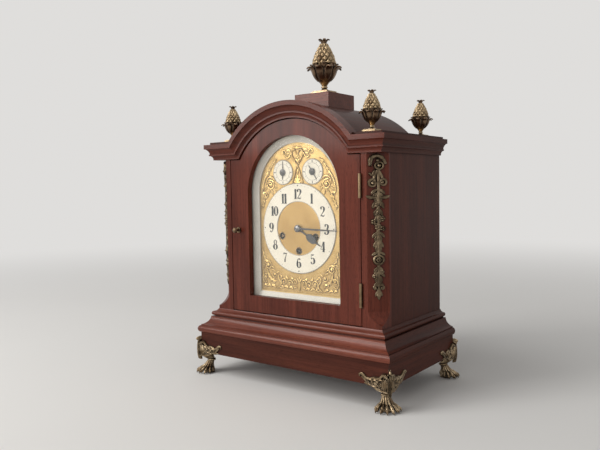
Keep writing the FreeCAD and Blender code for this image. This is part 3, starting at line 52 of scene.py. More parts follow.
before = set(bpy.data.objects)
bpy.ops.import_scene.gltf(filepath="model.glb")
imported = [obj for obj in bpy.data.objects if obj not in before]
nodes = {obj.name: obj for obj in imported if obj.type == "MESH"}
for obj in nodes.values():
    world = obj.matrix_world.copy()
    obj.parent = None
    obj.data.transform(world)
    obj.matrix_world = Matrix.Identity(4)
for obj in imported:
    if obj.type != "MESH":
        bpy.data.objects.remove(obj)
cad_low, cad_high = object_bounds()


def box_mm(name):
    """Low and high corner of a node's box, in millimetres."""
    low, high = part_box(name)
    return low / MM, high / MM


# ---------- camera of the photograph
CAMERA_PLACE = Vector((0.56243, -0.79909, 0.28791))
CAMERA_AZIMUTH = math.radians(37.075)
CAMERA_ELEVATION = math.radians(3.421)
CAMERA_ROLL = math.radians(-0.958)
CAMERA_LENS = 38.852
SENSOR_WIDTH = 36.0


def make_camera():
    azimuth, elevation, roll = CAMERA_AZIMUTH, CAMERA_ELEVATION, CAMERA_ROLL
    back = Vector((math.sin(azimuth) * math.cos(elevation),
                   -math.cos(azimuth) * math.cos(elevation), math.sin(elevation)))
    level_right = Vector((math.cos(azimuth), math.sin(azimuth), 0))
    level_up = back.cross(level_right)
    right = level_right * math.cos(roll) + level_up * math.sin(roll)
    up = level_up * math.cos(roll) - level_right * math.sin(roll)
    data = bpy.data.cameras.new("photo_camera")
    data.lens = CAMERA_LENS
    data.sensor_width = SENSOR_WIDTH
    camera = bpy.data.objects.new("photo_camera", data)
    bpy.context.scene.collection.objects.link(camera)
    camera.matrix_world = Matrix.Translation(CAMERA_PLACE) @ Matrix(
        (right, up, back)).transposed().to_4x4()
    bpy.context.scene.camera = camera


# ---------- materials

MIX_COLOUR_INPUTS, MIX_COLOUR_OUTPUT = (0, 6, 7), 2
CREVICE_SAMPLES = 8
BRUSH_SCALE, BRUSH_STRETCH = 700.0, 40
BLACK, WHITE = (0.0, 0.0, 0.0), (1.0, 1.0, 1.0)


class Nodes:
    """Short calls for the nodes of a new material, or of a tree that is there already."""

    def __init__(self, name="", tree=None):
        self.tree = tree
        if tree is None:
            self.material = bpy.data.materials.new(name)
            self.material.use_nodes = True
            self.tree = self.material.node_tree
            self.shader = self.tree.nodes["Principled BSDF"]

    def new(self, kind, **settings):
        node = self.tree.nodes.new("ShaderNode" + kind)
        for key, value in settings.items():
            setattr(node, key, value)
        return node

    def feed(self, socket, value):
        """Link an input to another node's output, or give it a plain value."""
        if isinstance(value, bpy.types.NodeSocket):
            self.tree.links.new(value, socket)
        else:
            socket.default_value = value

    def fill(self, node, **values):
        """Feed a node's inputs by name, with _ for a space, and give the node back."""
        for key, value in values.items():
            self.feed(node.inputs[key.replace("_", " ")], value)
        return node

    def place(self, scale=(1, 1, 1)):
        coordinates = self.new("TexCoord").outputs["Object"]
        mapping = self.fill(self.new("Mapping"), Vector=coordinates, Scale=scale)
        return mapping.outputs["Vector"]

    def noise(self, vector, scale, detail=3.0, distortion=0.0):
        node = self.fill(self.new("TexNoise"), Vector=vector, Scale=scale, Detail=detail,
                         Distortion=distortion)
        return node.outputs["Fac"]

    def ramp(self, factor, stops):
        node = self.fill(self.new("ValToRGB"), Fac=factor)
        elements = node.color_ramp.elements
        while len(elements) < len(stops):
            elements.new(0.5)
        for element, (place, colour) in zip(elements, stops):
            element.position = place
            element.color = (*colour, 1.0)
        return node.outputs["Color"]

    def spread(self, factor, low, high):
        """Stretch a 0 to 1 factor over a range."""
        node = self.fill(self.new("MapRange"), Value=factor, To_Min=low, To_Max=high)
        return node.outputs["Result"]

    def mix(self, factor, first, second, blend="MIX"):
        node = self.new("Mix", data_type="RGBA", blend_type=blend)
        for index, value in zip(MIX_COLOUR_INPUTS, (factor, first, second)):
            self.feed(node.inputs[index], value)
        return node.outputs[MIX_COLOUR_OUTPUT]

    def bump(self, height, strength, distance):
        node = self.fill(self.new("Bump"), Height=height, Strength=strength, Distance=distance)
        self.fill(self.shader, Normal=node.outputs["Normal"])

    # Ambient occlusion: painted shade in crevices and hollows, which cast metal also uses for
    # patina.
    def crevices(self, distance):
        node = self.new("AmbientOcclusion", samples=CREVICE_SAMPLES)
        return self.fill(node, Distance=distance).outputs["AO"]


AXES = {"x": 0, "y": 1, "z": 2}


def wood(name, grain, dark, light, coat=0.24, roughness=0.42):
    """Polished mahogany with its grain along one axis: broad ribbons, fine streaks, pores and
    painted crevice shade.
    """
    n = Nodes(name)

    def stretched(along, across):
        scale = [across] * 3
        scale[AXES[grain]] = along
        return n.place(tuple(scale))

    ribbon = n.noise(stretched(2.2, 24.0), 1.0, 4.0, 0.8)
    streak = n.noise(stretched(9.0, 260.0), 1.0, 3.0, 0.3)
    pores = n.noise(stretched(110.0, 1500.0), 1.0, 2.0)
    patch = n.noise(n.place(), 7.0, 2.0)
    middle = tuple((a + b) / 2 for a, b in zip(dark, light))
    colour = n.ramp(ribbon, [(0.30, dark), (0.50, middle), (0.72, light)])
    # The last multiply darkens crevices by ambient occlusion: painted shade.
    for share, factor, stops in (
            (0.75, streak, [(0.35, (0.72, 0.70, 0.70)), (0.62, (1.12, 1.08, 1.05))]),
            (0.6, pores, [(0.33, (0.35, 0.30, 0.28)), (0.43, WHITE)]),
            (0.8, patch, [(0.3, (0.86, 0.84, 0.84)), (0.7, (1.1, 1.08, 1.06))]),
            (0.8, n.crevices(0.006), [(0.35, (0.45, 0.42, 0.42)), (0.85, WHITE)])):
        colour = n.mix(share, colour, n.ramp(factor, stops), "MULTIPLY")
    n.fill(n.shader, Base_Color=colour,
           Roughness=n.spread(streak, roughness - 0.05, roughness + 0.08),
           Specular_IOR_Level=0.06, Coat_Weight=coat, Coat_Roughness=0.12, Coat_IOR=1.5)
    n.bump(pores, 0.12, 0.0002)
    return n.material


def aged_metal(name, bright, dark, patina_and_shade, roughness, hollow=0.003, patina_and_shade_range=(0.45, 0.95)):
    """Cast metal, rubbed bright on its high places and dark in its hollows with patina and painted
    shade.
    """
    n = Nodes(name)
    place = n.place()
    mottle = n.noise(place, 90.0, 4.0, 0.4)
    grain = n.noise(place, 900.0, 2.0)
    colour = n.ramp(mottle, [(0.30, dark), (0.66, bright)])
    # Ambient occlusion lays the dark hollow colour: patina on cast brass and bronze, and painted
    # shade as well.
    hollows = n.ramp(n.crevices(hollow), [(patina_and_shade_range[0], BLACK), (patina_and_shade_range[1], WHITE)])
    colour = n.mix(hollows, (*patina_and_shade, 1.0), colour)
    n.fill(n.shader, Base_Color=colour, Metallic=n.spread(hollows, 0.55, 1.0),
           Roughness=n.spread(mottle, roughness + 0.10, roughness - 0.08))
    n.bump(grain, 0.18, 0.0002)
    return n.material


def polished_metal(name, bright, dark, roughness, brushed):
    """Smooth metal with fine brushing along one axis and a little tarnish."""
    n = Nodes(name)
    stretch = [BRUSH_SCALE] * 3
    stretch[AXES[brushed]] = BRUSH_SCALE / BRUSH_STRETCH
    lines = n.noise(n.place(tuple(stretch)), 1.0, 2.0)
    tarnish = n.noise(n.place(), 28.0, 4.0, 0.5)
    n.fill(n.shader, Base_Color=n.ramp(tarnish, [(0.3, dark), (0.68, bright)]), Metallic=1.0,
           Roughness=n.spread(lines, roughness - 0.06, roughness + 0.10))
    n.bump(lines, 0.08, 0.0001)
    return n.material


def painted(name, colour, second, roughness, metallic=0.0):
    """A smooth coat, such as dial enamel or silvering, with faint clouding and speckle."""
    n = Nodes(name)
    cloud = n.noise(n.place(), 45.0, 4.0, 0.3)
    speckle = n.noise(n.place(), 1600.0, 2.0)
    tone = n.ramp(cloud, [(0.3, second), (0.7, colour)])
    n.fill(n.shader, Base_Color=tone, Roughness=roughness, Metallic=metallic)
    n.bump(speckle, 0.10, 0.00008)
    return n.material


def pane(name):
    """Thin clear glass with the faintest dust."""
    n = Nodes(name)
    dust = n.noise(n.place(), 60.0, 3.0)
    tint = n.ramp(dust, [(0.3, (0.86, 0.90, 0.88)), (0.7, (0.95, 0.97, 0.96))])
    n.fill(n.shader, Base_Color=tint, Roughness=0.04, Alpha=0.05, IOR=1.45)
    return n.material


RED_DARK, RED_LIGHT = (0.082, 0.018, 0.010), (0.150, 0.036, 0.021)
# A lighter copy of the red mahogany with a painted highlight, and a glossier coat, for the base
# moulding front and finial block.
LIT_RED_DARK, LIT_RED_LIGHT = (0.135, 0.036, 0.022), (0.235, 0.070, 0.044)
# A darker copy of the red mahogany, painted shade, for the sides, back, roof, plinth and dial
# mask.
SHADED_DARK, SHADED_LIGHT = (0.042, 0.012, 0.008), (0.100, 0.029, 0.018)
DEAL_DARK, DEAL_LIGHT = (0.20, 0.115, 0.055), (0.33, 0.21, 0.115)

red_along = {axis: wood("mahogany_" + axis, axis, RED_DARK, RED_LIGHT) for axis in AXES}
# Darker copies of the red mahogany: painted shade.
shaded_along = {axis: wood("mahogany_painted_shade_" + axis, axis, SHADED_DARK, SHADED_LIGHT, coat=0.10,
                           roughness=0.45) for axis in AXES}
# Lighter copy of the red mahogany: painted highlight, with a glossier coat.
glossy_red_lit = wood("glossy_mahogany_painted_lit", "x", LIT_RED_DARK, LIT_RED_LIGHT, coat=0.34, roughness=0.36)
deal = wood("deal", "x", DEAL_DARK, DEAL_LIGHT, coat=0.0, roughness=0.62)
antique = aged_metal("antique_brass", (0.56, 0.42, 0.25), (0.20, 0.13, 0.07),
                     (0.012, 0.008, 0.005), roughness=0.27)
bowl_bronze = aged_metal("dark_bronze", (0.24, 0.16, 0.10), (0.08, 0.045, 0.028),
                         (0.010, 0.007, 0.005), roughness=0.34)
foot_brass = aged_metal("foot_brass", (0.42, 0.32, 0.20), (0.12, 0.075, 0.04),
                        (0.010, 0.006, 0.004), roughness=0.25, hollow=0.004)
garland_bronze = aged_metal("garland_bronze", (0.25, 0.185, 0.115), (0.05, 0.033, 0.02),
                            (0.012, 0.009, 0.006), roughness=0.30, hollow=0.004)
fitting_bronze = aged_metal("fitting_bronze", (0.30, 0.21, 0.12), (0.12, 0.08, 0.05),
                            (0.014, 0.010, 0.007), roughness=0.36)
# The dark brown in the hollows of the gilt mounts is painted shade around the scrollwork.
gilt = aged_metal("gilt_mounts", (0.92, 0.65, 0.27), (0.70, 0.46, 0.15), (0.060, 0.028, 0.008),
                  roughness=0.27, hollow=0.0018, patina_and_shade_range=(0.52, 0.97))
gilt_plate = polished_metal("gilt_plate", (0.80, 0.60, 0.29), (0.68, 0.49, 0.21), 0.44, "x")
matted_gold = painted("matted_gold", (0.54, 0.345, 0.115), (0.44, 0.265, 0.08), 0.46, 0.6)
# The dark brown that ambient occlusion lays on the matted ground beside the mounts is painted
# shade: outlines around the scrollwork.
matted_ground = aged_metal("matted_ground", (0.62, 0.42, 0.165), (0.48, 0.31, 0.11),
                           (0.060, 0.028, 0.008), roughness=0.42, hollow=0.0026,
                           patina_and_shade_range=(0.58, 0.97))
silvered = painted("silvered", (0.66, 0.62, 0.54), (0.57, 0.535, 0.46), 0.42, 0.12)
ring_silver = painted("silvered_ring", (0.93, 0.86, 0.71), (0.86, 0.79, 0.64), 0.50)
numeral_black = painted("numeral_black", (0.012, 0.011, 0.012), (0.022, 0.021, 0.022), 0.5)
hand_steel = polished_metal("hand_steel", (0.115, 0.110, 0.105), (0.060, 0.058, 0.056), 0.34, "x")
cap_steel = polished_metal("cap_steel", (0.24, 0.23, 0.22), (0.13, 0.13, 0.13), 0.22, "x")
plate_brass = polished_metal("plate_brass", (0.84, 0.64, 0.30), (0.66, 0.48, 0.20), 0.30, "z")
wheel_brass = polished_metal("wheel_brass", (0.88, 0.68, 0.32), (0.70, 0.52, 0.22), 0.24, "y")
arbor_steel = polished_metal("arbor_steel", (0.62, 0.62, 0.64), (0.42, 0.42, 0.44), 0.22, "y")
gong_blue = polished_metal("gong_blue", (0.12, 0.15, 0.22), (0.07, 0.08, 0.12), 0.30, "x")
glass = pane("door_pane")


# ---------- finish of the fixed model

FINISH = {
    # The darker mahogany on the next three rows is painted shade.
    "plinth_front plinth_back base_board": shaded_along["x"],
    "plinth_sides base_moulding_sides cornice_sides roof_barrel top_decks": shaded_along["y"],
    "case_side_left case_side_right back_frame back_door dial_mask": shaded_along["z"],
    "front_bottom_rail arch_head cornice_arch cornice_shoulders": red_along["x"],
    "front_stile_left front_stile_right door_frame": red_along["z"],
    # The lighter mahogany here is painted highlight.
    "base_moulding_front finial_block": glossy_red_lit,
    "seatboard": deal,
    "door_glass": glass,
    "door_slip": silvered,
    # strike_barrel and chime_barrel take the dark fitting bronze in place of their wheel brass:
    # painted shade, as they show through the winding holes.
    "door_knob back_door_knob hinge_leaves_case hinge_leaves_door hinge_leaves_back_door "
    "strike_barrel chime_barrel": fitting_bronze,
    "dial_plate": gilt_plate,
    "chapter_ring subdials": ring_silver,
    # going_arbor takes the dark hand steel in place of arbor steel: painted shade in its winding
    # hole.
    "hour_hand minute_hand subdial_hand_left subdial_hand_right going_arbor": hand_steel,
    "going_barrel third_arbor escape_arbor minute_wheel hour_wheel pendulum": wheel_brass,
    "centre_arbor anchor hammers": arbor_steel,
    "front_plate back_plate": plate_brass,
    "gong_rods": gong_blue,
}
SMOOTH_UNDER = math.radians(32)
EASED = {"plinth_front", "plinth_sides", "plinth_back", "front_stile_left",
         "front_stile_right", "finial_block", "top_decks", "door_frame", "back_door"}
EASED_EDGE = 0.5 * MM
EASED_CORNER = math.radians(50)


def smooth(mesh, under):
    """Shade smoothly across edges that turn less than an angle."""
    for polygon in mesh.polygons:
        polygon.use_smooth = True
    mesh.set_sharp_from_angle(angle=under)


def dress_nodes():
    for names, material in FINISH.items():
        for name in names.split():
            mesh = nodes[name].data
            mesh.materials.clear()
            mesh.materials.append(material)
            smooth(mesh, SMOOTH_UNDER)
            if name in EASED:
                bevel = nodes[name].modifiers.new("eased_edges", "BEVEL")
                bevel.width = EASED_EDGE
                bevel.segments = 2
                bevel.limit_method = "ANGLE"
                bevel.angle_limit = EASED_CORNER
                bevel.harden_normals = True


# ---------- shapes

class Shape:
    """Points and faces gathered for one piece, in millimetres."""

    def __init__(self):
        self.points = []
        self.faces = []

    def sheet(self, table, wrap=False, ends=False):
        """Quads through a rows x columns x 3 table; wrap closes each row, ends caps it."""
        table = np.asarray(table, float)
        rows, columns = table.shape[:2]
        first = len(self.points)
        self.points.extend(map(tuple, table.reshape(-1, 3)))
        for i in range(rows - 1):
            for j in range(columns if wrap else columns - 1):
                k = (j + 1) % columns
                self.faces.append((first + i * columns + j, first + i * columns + k,
                                   first + (i + 1) * columns + k, first + (i + 1) * columns + j))
        if ends:
            last = first + (rows - 1) * columns
            self.faces.append(tuple(first + j for j in reversed(range(columns))))
            self.faces.append(tuple(last + j for j in range(columns)))
        return self

    def block(self, low, high):
        x, y, z = ((low[i], high[i]) for i in range(3))
        ring = [(x[0], y[0]), (x[1], y[0]), (x[1], y[1]), (x[0], y[1])]
        return self.sheet([[(a, b, height) for a, b in ring] for height in z], True, True)

    def lathe(self, profile, sides, ripple=None):
        """Turn (radius, height) points about Z; ripple(angle, radius, height) gives the radius."""
        angles = np.arange(sides) * 2 * math.pi / sides
        table = []
        for radius, height in profile:
            reach = [max(ripple(a, radius, height) if ripple else radius, 0.01) for a in angles]
            table.append([(r * math.cos(a), r * math.sin(a), height)
                          for r, a in zip(reach, angles)])
        return self.sheet(table, True, True)

    def tube(self, path, radii, sides):
        """A round bar along a path, with one radius at each point."""
        path = np.asarray(path, float)
        ahead = np.gradient(path, axis=0)
        side = None
        table = []
        for point, direction, radius in zip(path, ahead, radii):
            direction = Vector(direction).normalized()
            if side is None:
                side = direction.orthogonal().normalized()
            side = (side - direction * side.dot(direction)).normalized()
            other = direction.cross(side)
            ring = []
            for j in range(sides):
                turn = 2 * math.pi * j / sides
                ring.append(tuple(Vector(point) + side * (radius * math.cos(turn))
                                  + other * (radius * math.sin(turn))))
            table.append(ring)
        return self.sheet(table, True, True)

    def moved(self, rule):
        """The same faces with each point sent through a rule."""
        copy = Shape()
        copy.points = [tuple(rule(*p)) for p in self.points]
        copy.faces = list(self.faces)
        return copy

    def add(self, other):
        first = len(self.points)
        self.points.extend(other.points)
        self.faces.extend(tuple(first + i for i in face) for face in other.faces)
        return self


def piece(name, shape, material, body, replaces=(), thickness=0.0, sharp=50):
    """Make one object from a shape and let it ride on its body."""
    mesh = bpy.data.meshes.new(name)
    mesh.from_pydata([(x * MM, y * MM, z * MM) for x, y, z in shape.points], [], shape.faces)
    mesh.validate()
    mesh.update()
    smooth(mesh, math.radians(sharp))
    mesh.materials.append(material)
    item = bpy.data.objects.new(name, mesh)
    bpy.context.scene.collection.objects.link(item)
    if thickness:
        solid = item.modifiers.new("thickness", "SOLIDIFY")
        solid.thickness = thickness * MM
        solid.offset = 0
    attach(item, body)
    if replaces:
        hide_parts(*replaces)


def curve(points, count):
    """Smooth line through control rows of any width (Catmull-Rom)."""
    points = np.asarray(points, float)
    padded = np.vstack([2 * points[0] - points[1], points, 2 * points[-1] - points[-2]])
    out = []
    for t in np.linspace(0, len(points) - 1, count):
        i = min(int(t), len(points) - 2)
        f = t - i
        a, b, c, d = padded[i:i + 4]
        out.append(0.5 * (2 * b + (c - a) * f + (2 * a - 5 * b + 4 * c - d) * f ** 2
                          + (3 * b - a - 3 * c + d) * f ** 3))
    return np.array(out)


FLAT = 0.04
SHALLOWEST = 0.05
MIDRIB_SHARE = 0.28


class Relief:
    """Carving as heights on a grid: strokes, domes and rings rise from a flat ground."""

    def __init__(self, low, high, step):
        self.low = np.array(low, float)
        self.step = step
        shape = [int(round((b - a) / step)) + 1 for a, b in zip(low, high)]
        self.u = self.low[0] + np.arange(shape[0]) * step
        self.v = self.low[1] + np.arange(shape[1]) * step
        self.height = np.zeros(shape)

    def dome(self, u, v, radius, height, power=0.5):
        centre = np.array((u, v))
        low = np.maximum(((centre - radius - self.low) / self.step).astype(int), 0)
        high = ((centre + radius - self.low) / self.step).astype(int) + 2
        part = self.height[low[0]:high[0], low[1]:high[1]]
        if part.size == 0:
            return
        across = self.u[low[0]:high[0], None] - u
        along = self.v[None, low[1]:high[1]] - v
        share = 1 - (across ** 2 + along ** 2) / radius ** 2
        np.maximum(part, height * np.clip(share, 0, 1) ** power, out=part)

    def stroke(self, controls, groove=0.0):
        """A rounded stroke through (u, v, half width, height) rows."""
        controls = np.asarray(controls, float)
        run = np.abs(np.diff(controls[:, :2], axis=0)).sum()
        line = curve(controls, max(int(run / self.step * 1.5), 8))
        for u, v, width, height in line:
            self.dome(u, v, max(width, self.step), max(height, 0))
        if groove:
            for u, v, width, height in line:
                self.score(u, v, max(width * MIDRIB_SHARE, self.step), height * (1 - groove))

    def score(self, u, v, radius, level):
        """Sink a small round of the ground to a level."""
        i, j = (int(round(c)) for c in (np.array((u, v)) - self.low) / self.step)
        reach = int(math.ceil(radius / self.step))
        part = self.height[max(i - reach, 0):i + reach + 1, max(j - reach, 0):j + reach + 1]
        np.minimum(part, max(level, SHALLOWEST), out=part)

    def spiral(self, u, v, radius, start, turns, width, height, inner=0.18):
        """A scroll that winds in from a starting angle (degrees) to its eye."""
        rows = []
        for t in np.linspace(0, 1, max(int(abs(turns) * 10), 6)):
            angle = math.radians(start) + turns * 2 * math.pi * t
            reach = radius * (1 - (1 - inner) * t)
            rows.append((u + reach * math.cos(angle), v + reach * math.sin(angle),
                         width * (1 - 0.45 * t), height * (0.75 + 0.25 * t)))
        self.stroke(rows, groove=0.35)
        self.dome(u, v, radius * inner * 1.5 + width * 0.45, height * 1.1)

    def leaf(self, u, v, angle, length, width, height, bend=0.0):
        """A pointed leaf with a midrib, from its root towards an angle (degrees)."""
        rows = []
        for t in np.linspace(0, 1, 7):
            turn = math.radians(angle + bend * t)
            rows.append((u + length * t * math.cos(turn), v + length * t * math.sin(turn),
                         width * math.sin(math.pi * min(t * 0.85 + 0.15, 1.0)) ** 0.8 + 0.15,
                         height * (1 - 0.5 * t)))
        self.stroke(rows, groove=0.3)

    def sprig(self, controls, gap, length, width, height):
        """A stem with leaves that leave it by turns on either hand."""
        controls = np.asarray(controls, float)
        self.stroke(controls, groove=0.25)
        line = curve(controls[:, :2], 200)
        run = np.concatenate([[0], np.cumsum(np.linalg.norm(np.diff(line, axis=0), axis=1))])
        for k, place in enumerate(np.arange(gap / 2, run[-1], gap)):
            i = min(int(np.searchsorted(run, place)), len(line) - 2)
            ahead = math.degrees(math.atan2(*(line[i + 1] - line[i - 1])[::-1]))
            hand = 1 if k % 2 else -1
            self.leaf(*line[i], ahead + hand * 48, length, width, height, bend=-hand * 26)

    def flower(self, u, v, radius, petals, height):
        for k in range(petals):
            turn = 2 * math.pi * k / petals
            self.dome(u + radius * 0.6 * math.cos(turn), v + radius * 0.6 * math.sin(turn),
                      radius * 0.45, height * 0.8)
        self.dome(u, v, radius * 0.32, height * 1.15)

    def ring(self, u, v, radius, width, height):
        for turn in np.linspace(0, 2 * math.pi, max(int(radius * 14 / self.step / 4), 16)):
            self.dome(u + radius * math.cos(turn), v + radius * math.sin(turn), width, height)

    def both(self, action, *arguments, **options):
        """Do an action and its mirror image about u = 0."""
        act = getattr(self, action)
        act(*arguments, **options)
        if action in ("stroke", "sprig"):
            rows, *rest = arguments
            act([(-u, *row) for u, *row in rows], *rest, **options)
            return
        u, v, *rest = arguments
        if action == "spiral":
            radius, start, turns, *rest = rest
            rest = (radius, 180 - start, -turns, *rest)
        elif action == "leaf":
            angle, *rest = rest
            rest = (180 - angle, *rest)
            options["bend"] = -options.get("bend", 0.0)
        act(-u, v, *rest, **options)

    def leaves(self, *rows):
        """Mirrored pairs of leaves, from rows of leaf's arguments with the bend last."""
        for *row, bend in rows:
            self.both("leaf", *row, bend=bend)

    def shape(self, place, sink, keep=None):
        """Faces wherever the carving rises; place(u, v, height) gives each point.

        The outer edge goes down by sink, and keep(u, v) says where carving may stay.
        """
        up = self.height > FLAT
        if keep is not None:
            up &= keep(self.u[:, None], self.v[None, :])
        cell = up[:-1, :-1] | up[1:, :-1] | up[:-1, 1:] | up[1:, 1:]
        used = np.zeros(up.shape, bool)
        for i, j in ((0, 0), (1, 0), (0, 1), (1, 1)):
            used[i:used.shape[0] - 1 + i, j:used.shape[1] - 1 + j] |= cell
        number = np.full(up.shape, -1)
        number[used] = np.arange(used.sum())
        out = Shape()
        for i, j in np.argwhere(used):
            height = self.height[i, j] if up[i, j] else -sink
            out.points.append(place(self.u[i], self.v[j], height))
        for i, j in np.argwhere(cell):
            out.faces.append((number[i, j], number[i + 1, j],
                              number[i + 1, j + 1], number[i, j + 1]))
        out.faces = [tuple(int(k) for k in face) for face in out.faces]
        return out


# ---------- finials

LEAVES = 8
CURLS = 5
LEAF_THICKNESS = 1.9


def leaf_sheet(rows, turn, bulge, columns=7):
    """A leaf that follows (radius, height, half width) rows at an angle about Z."""
    table = []
    for radius, height, width in curve(rows, 18):
        row = []
        for s in np.linspace(-1, 1, columns):
            rib = bulge * (1 - s * s) - 0.35 * bulge * math.exp(-(s * 5) ** 2)
            angle = turn + s * width / max(radius, 2)
            reach = radius + rib
            row.append((reach * math.cos(angle), reach * math.sin(angle), height + rib * 0.3))
        table.append(row)
    return Shape().sheet(table)


def pine_cone(radius, low, high, across, rows, relief):
    """Tapered body covered with raised diamond scales."""
    profile = curve([(0.84, 0), (0.98, 0.06), (1, 0.16), (0.92, 0.36), (0.76, 0.58),
                     (0.54, 0.80), (0.30, 1)], 90)

    def ripple(angle, reach, height):
        t = (height - low) / (high - low)
        p = across * angle / (2 * math.pi) + rows * t
        q = across * angle / (2 * math.pi) - rows * t
        edge = min(abs(p - round(p)), abs(q - round(q))) * 2
        return reach + relief * (min(edge * 1.7, 1) ** 0.8 + 0.6 * edge) * (1.1 - 0.6 * t)

    return Shape().lathe([(r * radius, low + t * (high - low)) for r, t in profile], 168, ripple)


def finial_shapes():
    """The finial's bright parts, its dark bowl and the leaves, standing on z = 0."""
    bright, dark, leaves = Shape(), Shape(), Shape()
    bright.block((-15, -15, 0), (15, 15, 4.2))
    bright.block((-13, -13, 4.2), (13, 13, 6))
    bright.lathe(curve([(11.6, 6), (9, 6.8), (5.6, 8.4), (3.9, 10.2), (3.3, 11.8),
                        (3.6, 13.4), (5.6, 16.6), (7.6, 19.4)], 40), 40)
    bright.lathe([(3.4, 10.6), (4.9, 11.2), (5.1, 12), (4.9, 12.8), (3.6, 13.4)], 32)
    bright.add(pine_cone(15.6, 42, 76.5, 11, 3.1, 1.9))

    def gadroon(angle, radius, height):
        return radius * (0.965 + 0.05 * abs(math.cos(LEAVES * angle / 2)))

    dark.lathe(curve([(7.4, 19), (10.3, 22), (13.2, 25.4), (15.2, 29), (16.6, 33),
                      (17.3, 37), (16.6, 40.6), (13, 43)], 36), 96, gadroon)
    step = 2 * math.pi / LEAVES
    for k in range(LEAVES):
        turn = step * (k + 0.25)
        leaves.add(leaf_sheet([(9.2, 21.6, 1.2), (13.4, 26, 3.4), (16.6, 31.6, 5.2),
                               (18.4, 36.6, 6), (21.4, 40.2, 5.2), (24.6, 40.6, 3.4),
                               (26.6, 38.4, 0.6)], turn, 1.2))
        leaves.add(leaf_sheet([(14.8, 37, 3.2), (16.8, 40.4, 4.2), (18, 43.4, 3.8),
                               (19.4, 45.6, 2.4), (20.6, 45.2, 0.4)], turn + step / 2, 0.8))
    for k in range(CURLS):
        leaves.add(leaf_sheet([(3.4, 74.4, 2.4), (2.9, 77.2, 2), (4, 80.6, 2.4),
                               (6.4, 82.6, 2), (8.4, 81.6, 0.4)],
                              2 * math.pi * (k + 0.35) / CURLS, 0.5, 5))
    leaves.lathe([(2.7 * math.cos(tilt), 78.8 + 4.2 * math.sin(tilt))
                  for tilt in math.pi * (np.arange(1, 10) / 10 - 0.5)], 16)
    return bright, dark, leaves


def make_finials():
    low, high = box_mm("finial_centre")
    corner_low, corner_high = box_mm("finials_corner")
    small = (corner_high.z - corner_low.z) / (high.z - low.z)
    inward = (high.x - low.x) / 2 * small
    places = [("centre", 0, (low.y + high.y) / 2, low.z, 1, "finial_centre")]
    for side, x in (("left", corner_low.x), ("right", corner_high.x)):
        for end, y in (("front", corner_low.y), ("back", corner_high.y)):
            places.append((f"{end}_{side}", x - math.copysign(inward, x),
                           y - math.copysign(inward, y), corner_low.z, small, "finials_corner"))
    bright, dark, leaves = finial_shapes()
    for name, x, y, z, scale, node in places:
        def stand(px, py, pz):
            return x + px * scale, y + py * scale, z + pz * scale

        piece(f"finial_{name}_cone", bright.moved(stand), antique, "case",
              (node,))
        piece(f"finial_{name}_bowl", dark.moved(stand), bowl_bronze, "case")
        piece(f"finial_{name}_leaves", leaves.moved(stand), bowl_bronze, "case",
              thickness=LEAF_THICKNESS * scale, sharp=80)


# ---------- claw feet

TOES = 13
TOE_GIRTH = 0.80
ANKLE_HEIGHT = 21
ANKLE_INSET = 10.7
KNEE_REACH = 8
PAW_KICK = 4.4
INNER_TOE = 0.48


def wing_relief():
    """Leaf scrolls that spread from the knee along both faces of the plinth."""
    r = Relief((-54, 20), (54, 62), 0.42)
    r.stroke([
        (-18, 35, 8, 2.6), (-9, 36, 10, 3.4), (0, 36, 11, 4), (9, 36, 10, 3.4), (18, 35, 8, 2.6)])
    for root, foot, tip in ((5.6, 25, 45), (8.6, 27, 45.4), (11.6, 29, 45.6)):
        r.both("stroke", [
            (root, foot, 1.1, 5.6), (root + 1.2, (foot + tip) / 2, 1.2, 6),
            (root + 0.2, tip, 1, 6)])
    r.both("stroke", [
        (12, 35, 8, 3.2), (22, 35.4, 6.6, 2.2), (32, 37.4, 4.2, 1.8), (40, 40, 2.6, 1.6),
        (45, 43, 1.8, 1.4)])
    # rim along the top, curling over at its tip
    r.both("stroke", [
        (5, 44.5, 2.2, 6.4), (9, 47, 2.4, 6.2), (13.5, 48.6, 2.2, 5.8), (17, 46.2, 1.9, 5.2),
        (20.5, 43, 1.8, 4.8), (28, 42.6, 1.8, 4.4), (36, 40.4, 1.7, 4), (41, 41.4, 1.7, 3.8),
        (45.5, 45, 1.8, 3.8), (49.4, 45.2, 1.5, 3.4), (50, 42.6, 1.2, 3)], groove=0.35)
    # rim along the foot of the wing
    r.both("stroke", [
        (3, 26, 2.4, 5.4), (9, 27.6, 2.2, 5.2), (16, 28, 2, 4.8), (24, 29.4, 1.9, 4.4),
        (31, 32.6, 1.8, 4), (38, 35.6, 1.7, 3.8), (44, 40, 1.5, 3.6),
        (46.6, 42.4, 1.3, 3.4)], groove=0.35)
    # loops of leaf between the rims
    for reach, middle, radius in ((17.2, 36.8, 5), (26.4, 36.4, 3.8), (33.6, 37.4, 2.4)):
        r.both("ring", reach, middle, radius, 1.5, 5.4 - 0.05 * reach)
        r.both("leaf", reach - radius * 0.6, middle - radius * 0.5, 40, radius * 1.6,
               radius * 0.30, 4.6 - 0.05 * reach)
    for root, top, tilt in ((8, 41, 62), (17.5, 39, 48), (27.5, 38, 34), (36, 38.2, 30)):
        r.both("leaf", root, top - 6, tilt, 8, 1.5, 4.4 - 0.03 * root, bend=-16)
    for root, low, tilt in ((16.5, 33, -36), (26.5, 33, -8), (33.5, 35, 4)):
        r.both("leaf", root, low, tilt, 7, 1.3, 4 - 0.03 * root, bend=24)
    # corner: ribbed knee with a bud at the top
    r.stroke([
        (0, 23, 2.4, 6.4), (0, 30, 2.8, 7.6), (0, 38, 2.6, 8), (0, 46, 2.2, 7.8),
        (0, 51, 1.8, 7.2)], groove=0.25)
    r.both("stroke", [
        (4.6, 23, 1.9, 5.8), (5.4, 30, 2.1, 7), (5.2, 38, 2, 7.2),
        (3.8, 45, 1.6, 6.8)], groove=0.25)
    r.dome(0, 53.2, 3.8, 8.6)
    r.both("dome", 4.4, 50.2, 2.4, 6.4)
    r.both("dome", 3, 56, 1.4, 5)
    return r


